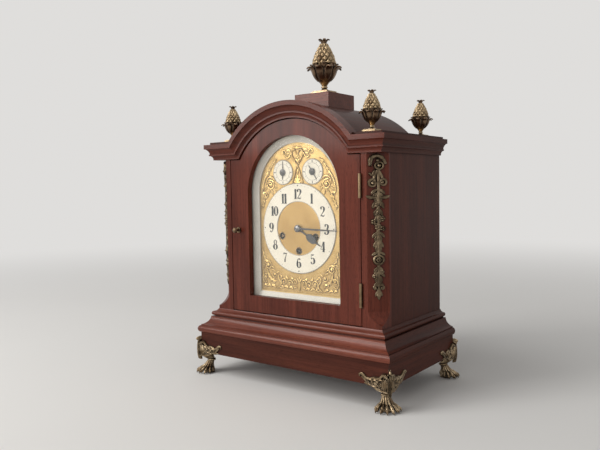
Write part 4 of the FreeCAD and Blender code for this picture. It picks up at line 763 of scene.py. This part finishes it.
def foot_shape():
    """A foot in its own corner frame: p and q point outwards from the plinth's two faces."""
    turn_share = math.pi / 4 / KNEE_REACH

    def wrap(u, v, height):
        turn = min(max(u, -KNEE_REACH), KNEE_REACH) * turn_share
        out = (math.sin(math.pi / 4 + turn), math.cos(math.pi / 4 + turn))
        beyond = max(abs(u) - KNEE_REACH, 0)
        p, q = (0, -beyond) if u > 0 else (-beyond, 0)
        return p + out[0] * height, q + out[1] * height, v

    shape = wing_relief().shape(wrap, sink=0.6)
    inset = ANKLE_INSET
    paw = inset - PAW_KICK
    leg = curve([(-2, 44, 7), (-2.8, 36, 8.6), (-5.6, 30, 8), (-8.8, 25, 6),
                 (-inset, ANKLE_HEIGHT, 4.6), (-inset + 1, 15, 5), (-paw - 2.4, 8, 6.6),
                 (-paw - 1.6, 3, 8.6), (-paw - 1.6, 0, 8.6)], 40)

    def flute(angle, radius, height):
        return radius * (1 + 0.05 * math.cos(12 * angle))

    shape.tube([(d, d, z) for d, z, _ in leg], [r for *_, r in leg], 28)
    ankle = [(5, 18), (6, 18.6), (6.3, 19.8), (6, 21), (5.2, 21.6)]
    shape.add(Shape().lathe(ankle, 48, flute).moved(lambda x, y, z: (x - inset, y - inset, z)))
    toe = curve([(4.2, 20.6, 1), (5.2, 16.6, 1.6), (6.8, 12.8, 1.9), (9, 10, 1.9),
                 (11.8, 7.8, 2.4), (14, 5.4, 2.8), (15.2, 3.2, 2.3), (15.8, 1.8, 1.7)], 26)
    claw = curve([(14.6, 5.6, 1.7), (16.6, 5.4, 1.6), (17.8, 3.6, 1.3), (17.9, 1.6, 0.8),
                  (17.5, 0.5, 0.3)], 12)
    for k in range(TOES):
        turn = 2 * math.pi * (k + 0.5) / TOES + math.pi / 4
        out = (math.cos(turn), math.sin(turn))
        forward = 0.5 + 0.5 * math.cos(turn - math.pi / 4)
        length = INNER_TOE + (1 - INNER_TOE) * min(forward * 1.6, 1)

        for rows, sides in ((toe, 14), (claw, 10)):
            path = []
            for reach, height, _ in rows:
                # the top of a toe stays at the ankle and its tip goes with the paw
                centre = -paw - PAW_KICK * min(max(height / ANKLE_HEIGHT, 0), 1)
                path.append((centre + out[0] * reach * length,
                             centre + out[1] * reach * length, height))
            shape.tube(path, [w * TOE_GIRTH for *_, w in rows], sides)
    return shape


def make_feet():
    corner_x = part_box("plinth_sides")[1].x / MM
    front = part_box("plinth_front")[0].y / MM
    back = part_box("plinth_sides")[1].y / MM
    back_limit = cad_high.y / MM
    shape = foot_shape()
    for end, q_sign, corner_y in (("front", -1, front), ("rear", 1, back)):
        for side, p_sign in (("left", -1), ("right", 1)):
            def stand(p, q, z):
                y = min(corner_y + q_sign * q, back_limit)
                return p_sign * (corner_x + p), y, max(z, 0)

            item = shape.moved(stand)
            if p_sign * q_sign > 0:
                item.faces = [face[::-1] for face in item.faces]
            node = f"foot_{end}_{side}"
            piece(f"{node}_cast", item, foot_brass, "case", (node,), sharp=80)


# ---------- corner garlands

GARLAND_SPREAD = 1.14
CANT_LEG = 21.3


def garland_relief(top, bottom):
    """Hanging drop of scrolls, leaves, flowers and a rosette, on a stem."""
    r = Relief((-15, bottom - 2), (15, top + 2), 0.36)
    r.stroke([
        (0, top - 8, 2.4, 2.6), (0.6, 280, 2.2, 2.4), (-0.5, 240, 2.4, 2.4), (0.3, 200, 2.2, 2.4),
        (0, 160, 1.8, 2), (0, bottom + 4, 1, 1.4)])
    r.stroke([
        (-9, top - 14, 2.2, 3.6), (-8, top - 6, 3, 4.4), (-2, top - 2.5, 3, 4.4),
        (5, top - 5, 2.6, 4), (8.5, top - 12, 2, 3.2)], groove=0.35)
    r.ring(1.2, top - 15, 4.6, 1.7, 3.6)
    r.dome(1.2, top - 15, 2.8, 5)
    r.stroke([(-4, top - 22, 1.8, 3), (-7, top - 27, 2, 3.4), (-9.5, top - 25, 1.5, 2.6)])
    r.both("stroke", [(1, top - 22, 2.2, 3.2), (4.6, top - 30, 2, 3), (3, top - 38, 1.8, 3)])
    r.spiral(-6, 290, 5.6, 80, 1.35, 1.8, 3.8)
    r.spiral(5.4, 291, 5, 100, -1.3, 1.7, 3.6)
    for k in range(3):
        r.both("leaf", 2, 282 - 5 * k, -30 - 18 * k, 8.5 - k, 2.2, 3.2, bend=-18)
    r.leaves((3, 272, -12, 11, 2.6, 3.6, 22), (2, 266, -50, 10, 2.4, 3.2, -14))
    for u, v, radius in ((0, 262, 4.2), (-4.6, 240, 4.4), (4.2, 244, 4.2), (0.2, 233, 4.8),
                         (5.2, 231, 3.4), (-1, 251, 3.6)):
        r.flower(u, v, radius, 5, 3.9)
    for v, tilt in ((256, -58), (248, -72), (226, -38), (222, -66), (214, -50), (209, -74)):
        r.both("leaf", 1.4, v, tilt, 9, 2, 2.9, bend=-12)
    r.ring(0.2, 190, 5.6, 1.8, 3.2)
    r.flower(0.2, 190, 4, 6, 4.4)
    r.both("leaf", 2, 200, -35, 7, 1.9, 2.8)
    for v, tilt, length in ((180, -50, 9), (173, -30, 8.5), (168, -62, 8.5), (160, -40, 7.5)):
        r.both("leaf", 1.2, v, tilt, length, 2, 3, bend=-16)
    r.flower(-3.2, 168, 3.4, 5, 3.6)
    r.flower(3.6, 174, 3.2, 5, 3.4)
    r.both("spiral", 3.6, 153, 3.4, 120, -1, 1.3, 2.8)
    r.leaf(0, 152, -90, 15, 2.8, 3.2)
    r.both("leaf", 0.6, 149, -64, 8, 1.7, 2.6)
    return r


def make_garlands():
    low, high = box_mm("corner_garlands")
    relief = garland_relief(high.z, low.z)
    stile = box_mm("front_stile_right")[1]
    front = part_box("front_stile_right")[0].y / MM
    half_leg = CANT_LEG / 2
    diagonal = math.sqrt(0.5)
    for side, name in ((1, "right"), (-1, "left")):
        def lay(u, v, height):
            across = u * GARLAND_SPREAD
            x = stile.x - half_leg + diagonal * (across + height)
            y = front + half_leg + diagonal * (across - height)
            return side * x, y, v

        shape = relief.shape(lay, sink=0.4)
        if side < 0:
            shape.faces = [face[::-1] for face in shape.faces]
        piece(f"garland_{name}_cast", shape, garland_bronze, "case",
              ("corner_garlands",), sharp=80)


# ---------- dial

ring_low, ring_high = box_mm("chapter_ring")
DIAL_Z = (ring_low.z + ring_high.z) / 2
RING_FRONT = ring_low.y
RING_OUTER = (ring_high.x - ring_low.x) / 2
RING_INNER = 38.7
sub_low, sub_high = box_mm("subdials")
SUBDIAL_RADIUS = (sub_high.z - sub_low.z) / 2
SUBDIAL_X = sub_high.x - SUBDIAL_RADIUS
SUBDIAL_Z = (sub_low.z + sub_high.z) / 2
SUBDIAL_LINE = 12.2
plate_low, plate_high = box_mm("dial_plate")
ARCH_Z = plate_high.z - plate_high.x
TRACK_INSET = 3.2
TRACK_DOTS = [(15, 0.95, 12), (5, 0.6, 12), (1, 0.3, 8)]
NUMERAL_HEIGHT = 14.3
NUMERAL_RADIUS = 49.6
NUMERAL_SPREAD = 1.14
STEM, HAIRLINE = 0.230, 0.060
BLOB = 0.03
INK = 0.16
LIFT = 1.25
FIELD_SIDE = 5.4
FIELD_FOOT = 6.4
MOUNT_MARGIN = 1.6
MOUNT_GAP = 0.3
WINDING_HOLES = [(-30.1, 11.6), (30.1, 11.6), (0, 32.6)]
HOLE_RADIUS = 4.6
COLLAR_RADIUS = 5.1
MATT_INNER = 4.2


def oval(cx, cy, rx, ry, start=0, sweep=360, thick=STEM):
    """Round pen stroke, heavy at its sides and fine at top and bottom."""
    rows = []
    for turn in np.radians(np.linspace(start, start + sweep, max(int(abs(sweep) / 12), 6))):
        weight = HAIRLINE + (thick - HAIRLINE) * abs(math.cos(turn)) ** 1.6
        rows.append((cx + rx * math.cos(turn), cy + ry * math.sin(turn), weight))
    return rows


def blob(x, y):
    """The round end of a curled stroke."""
    turns = np.radians(np.linspace(0, 360, 30))
    return [(x + BLOB * math.cos(t), y + BLOB * math.sin(t), 0.08) for t in turns]


def glyphs():
    """Numeral strokes as (across, up, pen width) rows, in a box one unit high."""
    thick = STEM

    def serif(x, y, reach=0.14):
        return [(x - reach, y, 0.04), (x + reach, y, 0.04)]

    return {
        "0": (0.50, [oval(0, 0.5, 0.17, 0.47)]),
        "1": (0.30, [[(0, 0, thick), (0, 1, thick)], serif(0, 0.02, 0.15),
                     [(0, 0.97, 0.05), (-0.15, 0.86, 0.04)]]),
        "2": (0.48, [oval(0, 0.75, 0.17, 0.23, 170, -190)
                     + [(0.10, 0.50, 0.11), (-0.08, 0.24, 0.06), (-0.19, 0.06, 0.05)],
                     [(-0.19, 0.05, 0.06), (-0.06, 0.10, 0.11), (0.09, 0.05, 0.12),
                      (0.19, 0.13, 0.04), (0.20, 0.22, 0.03)], blob(-0.13, 0.77)]),
        "3": (0.48, [oval(-0.02, 0.76, 0.16, 0.22, 150, -235),
                     oval(-0.02, 0.27, 0.19, 0.26, 85, -240),
                     blob(-0.14, 0.82), blob(-0.16, 0.17)]),
        "4": (0.52, [[(0.07, 0, thick), (0.07, 1, thick)], serif(0.07, 0.02),
                     [(0.07, 0.97, 0.05), (-0.24, 0.29, 0.05)],
                     [(-0.25, 0.27, 0.05), (0.23, 0.27, 0.05)]]),
        "5": (0.48, [[(-0.13, 0.95, 0.05), (0, 0.91, 0.12), (0.15, 0.96, 0.05)],
                     [(-0.14, 0.96, 0.045), (-0.15, 0.52, 0.045)],
                     oval(-0.01, 0.31, 0.19, 0.29, 135, -275), blob(-0.16, 0.17)]),
        "6": (0.50, [oval(0.01, 0.30, 0.17, 0.28),
                     [(0.13, 0.88, 0.05), (0.06, 0.96, 0.05), (-0.07, 0.85, 0.08),
                      (-0.16, 0.60, 0.13), (-0.17, 0.32, thick)], blob(0.12, 0.86)]),
        "7": (0.46, [[(-0.18, 0.80, 0.04), (-0.16, 0.93, 0.08), (-0.04, 0.91, 0.13),
                      (0.08, 0.90, 0.09), (0.19, 0.96, 0.04)],
                     [(0.19, 0.95, 0.045), (0.05, 0.55, 0.08), (-0.03, 0.25, 0.14),
                      (-0.03, 0.02, 0.15)]]),
        "8": (0.50, [oval(0, 0.75, 0.135, 0.22, thick=0.11), oval(0, 0.27, 0.175, 0.26)]),
        "9": (0.50, [oval(-0.01, 0.70, 0.17, 0.28),
                     [(-0.13, 0.12, 0.05), (-0.06, 0.04, 0.05), (0.07, 0.15, 0.08),
                      (0.16, 0.40, 0.13), (0.17, 0.68, thick)], blob(-0.12, 0.14)]),
    }


def ink_ribbon(shape, rows, x, z, height, y):
    """Lay one pen stroke on the dial as a thin raised ribbon."""
    rows = np.asarray(rows, float)
    if len(rows) > 2:
        rows = curve(rows, len(rows) * 3)
    ahead = np.gradient(rows[:, :2], axis=0)
    length = np.maximum(np.linalg.norm(ahead, axis=1), 1e-9)
    side = np.stack([-ahead[:, 1] / length, ahead[:, 0] / length], axis=1)
    table = []
    for (across, up, width), (sx, sz) in zip(rows, side):
        half = width / 2
        ring = []
        for sign, depth in ((1, 0), (1, -INK), (-1, -INK), (-1, 0)):
            ring.append((x + (across + sign * half * sx) * height, y + depth,
                         z + (up - 0.5 + sign * half * sz) * height))
        table.append(ring)
    shape.sheet(table, True, True)


def write(shape, text, x, z, height, y):
    """Set a number on the dial, its strokes side by side about the middle x."""
    letters = glyphs()
    widths = [letters[c][0] * height * NUMERAL_SPREAD for c in text]
    cursor = x - sum(widths) / 2
    for character, width in zip(text, widths):
        for rows in letters[character][1]:
            spread = [(across * NUMERAL_SPREAD, up, pen) for across, up, pen in rows]
            ink_ribbon(shape, spread, cursor + width / 2, z, height, y)
        cursor += width


def disc(shape, x, z, radius, y, depth, sides):
    """A low round dot standing forward of a face at y."""
    turns = np.arange(sides) * 2 * math.pi / sides
    table = [[(x + r * math.cos(t), y - d, z + r * math.sin(t)) for t in turns]
             for r, d in ((radius, -0.02), (radius, depth * 0.7), (radius * 0.7, depth))]
    shape.sheet(table, True, True)


def hoop(shape, x, z, radius, width, y, depth, sides):
    """A raised circular line on a face at y."""
    turns = np.arange(sides + 1) * 2 * math.pi / sides
    profile = ((-width / 2, 0.02), (-width / 2 * 0.7, -depth), (width / 2 * 0.7, -depth),
               (width / 2, 0.02))
    table = [[(x + (radius + r) * math.cos(t), y + d, z + (radius + r) * math.sin(t))
              for r, d in profile] for t in turns]
    shape.sheet(table, True)


def make_chapter_ring():
    ink = Shape()
    for hour in range(1, 13):
        turn = math.radians(90 - 30 * hour)
        write(ink, str(hour), NUMERAL_RADIUS * math.cos(turn),
              DIAL_Z + NUMERAL_RADIUS * math.sin(turn), NUMERAL_HEIGHT, RING_FRONT)
    track = RING_OUTER - TRACK_INSET
    for minute in range(60):
        turn = math.radians(6 * minute)
        x, z = track * math.cos(turn), DIAL_Z + track * math.sin(turn)
        size, sides = next(dot for every, *dot in TRACK_DOTS if minute % every == 0)
        disc(ink, x, z, size, RING_FRONT, INK, sides)
    for radius in (RING_OUTER - 0.5, RING_INNER + 0.5):
        hoop(ink, 0, DIAL_Z, radius, 0.4, RING_FRONT, 0.08, 128)
    piece("chapter_ring_numerals", ink, numeral_black, "case", sharp=30)


def make_subdials():
    ink = Shape()
    for side in (-1, 1):
        x = side * SUBDIAL_X
        hoop(ink, x, SUBDIAL_Z, SUBDIAL_RADIUS - 0.5, 0.5, RING_FRONT, 0.10, 64)
        hoop(ink, x, SUBDIAL_Z, SUBDIAL_LINE, 0.34, RING_FRONT, 0.08, 64)
        for k in range(12):
            turn = 2 * math.pi * k / 12
            reach, half, wide = (14.7, 1.9, 1.5) if k % 3 == 0 else (14.2, 1.1, 0.5)
            rows = [((reach + d * half) * math.cos(turn),
                     (reach + d * half) * math.sin(turn) + 0.5, w)
                    for d, w in ((-1, 0.12), (0, wide), (1, 0.12))]
            ink_ribbon(ink, rows, x, SUBDIAL_Z, 1, RING_FRONT)
    piece("subdial_marks", ink, numeral_black, "case", sharp=30)
    for name, x in (("left", -SUBDIAL_X), ("right", SUBDIAL_X)):
        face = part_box(f"subdial_hand_{name}")[0].y / MM
        hub = Shape().lathe([(5, 0), (5, 0.25), (4.4, 0.5), (1.6, 0.6), (1.3, 1),
                             (0.4, 1.1)], 40)
        placed = hub.moved(lambda px, py, pz: (x + px, face + 0.1 - pz, SUBDIAL_Z + py))
        piece(f"subdial_{name}_hub", placed, hand_steel, f"{name}_subdial_hand")


def dial_relief():
    """Scrollwork of the dial's corners, arch and foot, in dial coordinates (x, z)."""
    r = Relief((-72, 133), (72, 350), 0.38)
    # heart between the subdials, its stems crossing to a plume below
    r.both("stroke", [
        (0, 318, 0.9, 1.4), (4.6, 324, 1, 1.6), (9.2, 331, 1.1, 1.6), (10.2, 336.6, 1.1, 1.6),
        (7, 340.6, 1, 1.6), (3, 338.8, 0.9, 1.5), (2.4, 336, 0.9, 1.4)])
    r.both("stroke", [
        (0, 318, 0.9, 1.3), (-3.2, 311, 0.9, 1.4), (-5.8, 303, 0.9, 1.4),
        (-9.4, 293.5, 0.8, 1.2)])
    r.flower(0, 330.4, 3.8, 5, 1.4)
    r.both("leaf", 0.6, 323.4, 58, 5, 0.9, 1.2)
    r.leaf(0, 292.6, 90, 12, 2, 1.5)
    r.leaves((0.9, 294, 64, 7.5, 1.1, 1.4, 0), (1.4, 292.6, 30, 6, 1, 1.3, 0))
    r.leaf(0, 306.5, 90, 6.5, 1.1, 1.3)
    r.both("leaf", 0.8, 342.6, 24, 8.5, 1.1, 1.4, bend=-30)
    r.leaf(0, 341.4, 90, 4.6, 1.3, 1.4)
    r.both("spiral", 24.6, 337, 4, 200, -1.2, 1.1, 1.6)
    r.both("stroke", [
        (12, 335.4, 0.9, 1.4), (13.8, 331, 1.1, 1.5), (17.6, 328.8, 1.1, 1.5),
        (21.4, 331, 1, 1.5)], groove=0.3)
    r.leaves((14.6, 334.6, 26, 6, 1.2, 1.4, -24), (12.6, 338.4, 66, 5, 1, 1.4, -30),
             (17.4, 338.6, 120, 4, 0.9, 1.3, 0), (18.4, 334, -60, 4, 0.9, 1.3, 0))
    # chain of leaves that follows the arch outside the subdials
    r.both("sprig", [
        (38.4, 327.4, 0.6, 1.1), (43, 323.6, 0.9, 1.3), (48, 317.4, 1, 1.5),
        (52.6, 310.6, 1.1, 1.5), (57, 303.8, 1.1, 1.5)], 3.4, 4.2, 1.05, 1.4)
    r.both("stroke", [
        (55, 309, 0.9, 1.4), (60.4, 300.4, 1.2, 1.6), (64, 291.6, 1.2, 1.6), (65, 281.6, 1, 1.5),
        (62.6, 276, 0.9, 1.4)], groove=0.3)
    r.both("spiral", 50.6, 290.6, 7.6, 70, 1.7, 1.3, 1.7)
    r.both("stroke", [
        (42.4, 297.6, 0.8, 1.3), (46, 301, 1.1, 1.5), (51.2, 302.4, 1.2, 1.6),
        (56.6, 298.6, 1, 1.5), (58.6, 292, 0.8, 1.4)], groove=0.3)
    r.leaves((41.8, 290.4, -150, 5.6, 1.2, 1.5, 20), (42.4, 285.4, -126, 5.4, 1.1, 1.4, 0),
             (47, 281.6, -84, 5.6, 1.2, 1.5, -16), (52.6, 281.4, -70, 6.4, 1.3, 1.5, 18),
             (58, 285.6, -18, 6, 1.2, 1.5, -20), (58.4, 279, -6, 8.6, 1.3, 1.5, 16),
             (55.6, 275.4, -56, 6.4, 1.2, 1.4, 0))
    r.both("sprig", [
        (58.6, 279, 1, 1.5), (61, 272, 1.1, 1.5), (64.2, 264, 1, 1.4),
        (66.4, 256.4, 0.7, 1.2)], 3.4, 4.4, 1.1, 1.4)
    # corners below the ring
    r.both("sprig", [
        (68, 196, 0.5, 1), (67, 189, 0.8, 1.3), (64.6, 182.6, 1, 1.5),
        (61.6, 178, 1.1, 1.6)], 3.4, 4.4, 1.1, 1.4)
    r.both("spiral", 57.4, 171, 6.4, 60, 1.6, 1.3, 1.7)
    r.leaves((50.6, 169.6, -164, 5.6, 1.2, 1.5, 22), (50.4, 165, -176, 6.6, 1.2, 1.4, 20),
             (64.4, 172, -70, 7, 1.2, 1.5, 0), (64, 177.6, -20, 4.4, 1, 1.4, 0))
    r.both("sprig", [
        (59, 164, 1.1, 1.6), (57.4, 157.4, 1.3, 1.7), (52, 150.6, 1.3, 1.7),
        (45, 147.4, 1, 1.6)], 2.9, 6.2, 1.2, 1.6)
    r.both("spiral", 63, 153.6, 4.2, 120, -1.3, 1.1, 1.6)
    r.both("stroke", [
        (66.6, 163, 0.8, 1.3), (67.6, 157, 1, 1.4), (68, 149.6, 1, 1.4), (65, 144.6, 0.9, 1.4),
        (60.6, 146.6, 0.8, 1.4)], groove=0.3)
    for root, low, tilt in ((66, 140.6, 150), (60.4, 139.4, 30), (59.4, 140.4, 160),
                            (52, 139.4, 24), (51, 141.4, 164), (44.4, 139, 30)):
        r.both("leaf", root, low, tilt, 6.6, 1.2, 1.5, bend=14)
    r.both("spiral", 45.6, 157, 4, 10, -1.3, 1, 1.5)
    r.both("leaf", 41.6, 160.4, 150, 5, 1, 1.4)
    # scrolls along the foot
    r.both("stroke", [
        (40.6, 138.4, 0.9, 1.5), (35.4, 141.6, 1.1, 1.6), (33.8, 146.6, 1.2, 1.7),
        (37.6, 151.4, 1.2, 1.6), (38.4, 156.4, 1, 1.5), (34.4, 158.6, 0.8, 1.4)], groove=0.3)
    r.both("spiral", 28, 148.4, 5.2, -40, 1.5, 1.2, 1.6)
    r.both("spiral", 17.4, 147.4, 4.4, 210, -1.4, 1.1, 1.5)
    r.both("spiral", 7.6, 148.8, 4.2, -30, 1.4, 1.1, 1.6)
    for reach, low, tilt in ((36.4, 139, 170), (29, 139.6, 24), (27.6, 141, 160),
                             (20, 139, 26), (18.6, 140.6, 162), (11.4, 139, 28),
                             (10, 140.4, 160)):
        r.both("leaf", reach, low, tilt, 5.6, 1.1, 1.5, bend=14)
    for reach, top, tilt in ((31.4, 154.6, 48), (23.6, 153.4, 100), (20.6, 152.4, 60),
                             (13, 152.6, 96), (11, 153, 50)):
        r.both("leaf", reach, top, tilt, 4.6, 1, 1.4, bend=-16)
    r.leaf(0, 138.4, 90, 13, 2, 1.6)
    r.both("leaf", 1, 149.6, 62, 6, 1.1, 1.4)
    r.leaf(0, 151.6, 90, 6, 1.2, 1.4)
    return r


def make_matted_ground():
    """Matted gold field behind the scrollwork, inside a plain bright border."""
    ground = plate_low.y
    half = plate_high.x - FIELD_SIDE
    bottom = plate_low.z + FIELD_FOOT

    def reach(turn):
        across, up = math.cos(turn), math.sin(turn)
        spans = [half / abs(across)] if abs(across) > 1e-6 else []
        if up < 0:
            spans.append((bottom - DIAL_Z) / up)
        lift = ARCH_Z - DIAL_Z
        arch = up * lift + math.sqrt((up * lift) ** 2 - lift ** 2 + half ** 2)
        straight = min(spans) if spans else arch
        return straight if DIAL_Z + straight * up < ARCH_Z else arch

    field = Shape()
    turns = np.arange(240) * 2 * math.pi / 240
    middle = (RING_OUTER + RING_INNER) / 2
    field.sheet([[((middle + (reach(t) - middle) * share) * math.cos(t), ground - 0.05,
                   DIAL_Z + (middle + (reach(t) - middle) * share) * math.sin(t))
                  for t in turns] for share in np.linspace(0, 1, 12)], True)
    piece("dial_matted_ground", field, matted_ground, "case")


def make_mounts():
    mount_high = box_mm("dial_mounts")[1]
    ground = mount_high.y
    edge = mount_high.x + MOUNT_MARGIN

    def clear(u, v):
        ring = u ** 2 + (v - DIAL_Z) ** 2 > (RING_OUTER + MOUNT_GAP) ** 2
        reach = SUBDIAL_RADIUS + MOUNT_GAP
        dials = (np.abs(u) - SUBDIAL_X) ** 2 + (v - SUBDIAL_Z) ** 2 > reach ** 2
        inside = (u ** 2 + (v - ARCH_Z) ** 2 < edge ** 2) | (v < ARCH_Z)
        return ring & dials & inside & (np.abs(u) < edge)

    shape = dial_relief().shape(lambda u, v, height: (u, ground - height * LIFT, v), 0.1, clear)
    piece("dial_mounts_cast", shape, gilt, "case", ("dial_mounts",), sharp=80)


def make_dial_centre():
    """Matted ground inside the ring, and the collars of the winding holes."""
    ground = plate_low.y
    holes = [(x, DIAL_Z - drop) for x, drop in WINDING_HOLES]
    turns = np.arange(97) * 2 * math.pi / 96
    rows = []
    for radius in np.linspace(MATT_INNER, RING_INNER - 0.05, 60):
        row = []
        for t in turns:
            x, z = radius * math.cos(t), radius * math.sin(t) + DIAL_Z
            for hx, hz in holes:
                gap = math.hypot(x - hx, z - hz)
                if gap < HOLE_RADIUS:
                    push = HOLE_RADIUS / max(gap, 0.1)
                    x, z = hx + (x - hx) * push, hz + (z - hz) * push
            row.append((x, ground - 0.06, z))
        rows.append(row)
    matt = Shape().sheet(rows)

    def open_at(face):
        x, _, z = np.mean([matt.points[i] for i in face], axis=0)
        return any(math.hypot(x - hx, z - hz) <= HOLE_RADIUS - 0.05 for hx, hz in holes)

    matt.faces = [face for face in matt.faces if not open_at(face)]
    piece("dial_matted_centre", matt, matted_gold, "case")
    collars = Shape()
    for x, z in holes:
        hoop(collars, x, z, COLLAR_RADIUS, 1, ground, 0.35, 48)
    piece("winding_hole_collars", collars, fitting_bronze, "case")


def make_hand_caps():
    """Domed nut over the hands, and a ring under it."""
    face = box_mm("minute_hand")[0].y
    for name, rows, sides, lift, material in (
            ("cap", [(4, 0), (4.1, 0.25), (3.6, 0.8), (2.2, 1.3), (0.5, 1.5)], 36, 0.45,
             cap_steel),
            ("collar", [(5.2, 0), (5.2, 0.25), (4.6, 0.5), (3.6, 0.5)], 40, 0, hand_steel)):
        placed = Shape().lathe(rows, sides).moved(
            lambda x, y, z: (x, face - lift - z * 0.5, DIAL_Z + y))
        piece(f"minute_hand_{name}", placed, material, "minute")


# ---------- stage and light

FLOOR_COLOUR, FLOOR_SHADE = (0.80, 0.79, 0.77), (0.79, 0.78, 0.76)
BACKDROP_COLOUR = (1.0, 0.985, 0.965, 1.0)
BACKDROP_STRENGTH = 0.74
AMBIENT_STRENGTH = 0.34
FADE_NEAR, FADE_FAR = 0.15, 2.6
FLOOR_REACH = 30.0
AIM = (0, 0, 0.25)
WINDOW_POWER, FRONT_POWER, OVERHEAD_POWER = 25, 10, 8


def seen_rays(n):
    """1 where a camera, glossy or transmission ray looks, 0 where the surface only lights."""
    path = n.new("LightPath")
    seen = path.outputs["Is Camera Ray"]
    for output in ("Is Glossy Ray", "Is Transmission Ray"):
        join = n.new("Math", operation="MAXIMUM")
        n.feed(join.inputs[0], seen)
        n.feed(join.inputs[1], path.outputs[output])
        seen = join.outputs[0]
    return seen


def make_floor():
    """Pale paper that keeps the shadow near the object and fades into the backdrop."""
    n = Nodes("floor_paper")
    tone = n.noise(n.place(), 3.0, 2.0)
    n.fill(n.shader, Base_Color=n.ramp(tone, [(0.3, FLOOR_SHADE), (0.7, FLOOR_COLOUR)]),
           Roughness=0.7, Specular_IOR_Level=0.2)
    distance = n.fill(n.new("VectorMath", operation="LENGTH"),
                      Vector=n.new("TexCoord").outputs["Object"])
    far = n.fill(n.new("MapRange", interpolation_type="SMOOTHSTEP"),
                 Value=distance.outputs["Value"], From_Min=FADE_NEAR, From_Max=FADE_FAR)
    share = n.new("Math", operation="MULTIPLY")
    glow = n.fill(n.new("Emission"), Color=BACKDROP_COLOUR, Strength=BACKDROP_STRENGTH)
    blend = n.new("MixShader")
    for node, values in (
            (share, (far.outputs["Result"], seen_rays(n))),
            (blend, (share.outputs[0], n.shader.outputs["BSDF"], glow.outputs["Emission"]))):
        for socket, value in zip(node.inputs, values):
            n.feed(socket, value)
    n.fill(n.tree.nodes["Material Output"], Surface=blend.outputs[0])
    mesh = bpy.data.meshes.new("floor")
    reach = FLOOR_REACH
    mesh.from_pydata([(-reach, -reach, 0), (reach, -reach, 0), (reach, reach, 0),
                      (-reach, reach, 0)], [], [(0, 1, 2, 3)])
    mesh.materials.append(n.material)
    floor = bpy.data.objects.new("floor", mesh)
    bpy.context.scene.collection.objects.link(floor)


def make_world():
    world = bpy.data.worlds.new("studio")
    world.use_nodes = True
    bpy.context.scene.world = world
    n = Nodes(tree=world.node_tree)
    strength = n.fill(n.new("MapRange"), Value=seen_rays(n), To_Min=AMBIENT_STRENGTH,
                      To_Max=BACKDROP_STRENGTH)
    n.fill(n.tree.nodes["Background"], Color=BACKDROP_COLOUR,
           Strength=strength.outputs["Result"])


def make_lamp(name, place, size, power, colour):
    """A rectangular lamp that looks at the middle of the clock."""
    data = bpy.data.lights.new(name, "AREA")
    data.shape = "RECTANGLE"
    data.size, data.size_y = size
    data.energy = power
    data.color = colour
    lamp = bpy.data.objects.new(name, data)
    bpy.context.scene.collection.objects.link(lamp)
    lamp.location = place
    lamp.rotation_euler = (Vector(AIM) - Vector(place)).to_track_quat("-Z", "Y").to_euler()


def make_light():
    make_lamp("window_left", (-1.2, -1.6, 1.15), (0.9, 1.5), WINDOW_POWER, (1.0, 0.985, 0.96))
    make_lamp("front_fill", (0.0, -2.4, 0.7), (1.6, 1.0), FRONT_POWER, (1.0, 0.99, 0.98))
    make_lamp("overhead", (-0.5, -0.8, 1.9), (0.8, 0.8), OVERHEAD_POWER, WHITE)


make_camera()
make_floor()
make_world()
make_light()
dress_nodes()
make_finials()
make_feet()
make_garlands()
make_chapter_ring()
make_subdials()
make_matted_ground()
make_mounts()
make_dial_centre()
make_hand_caps()
bpy.context.scene.view_settings.view_transform = "Standard"
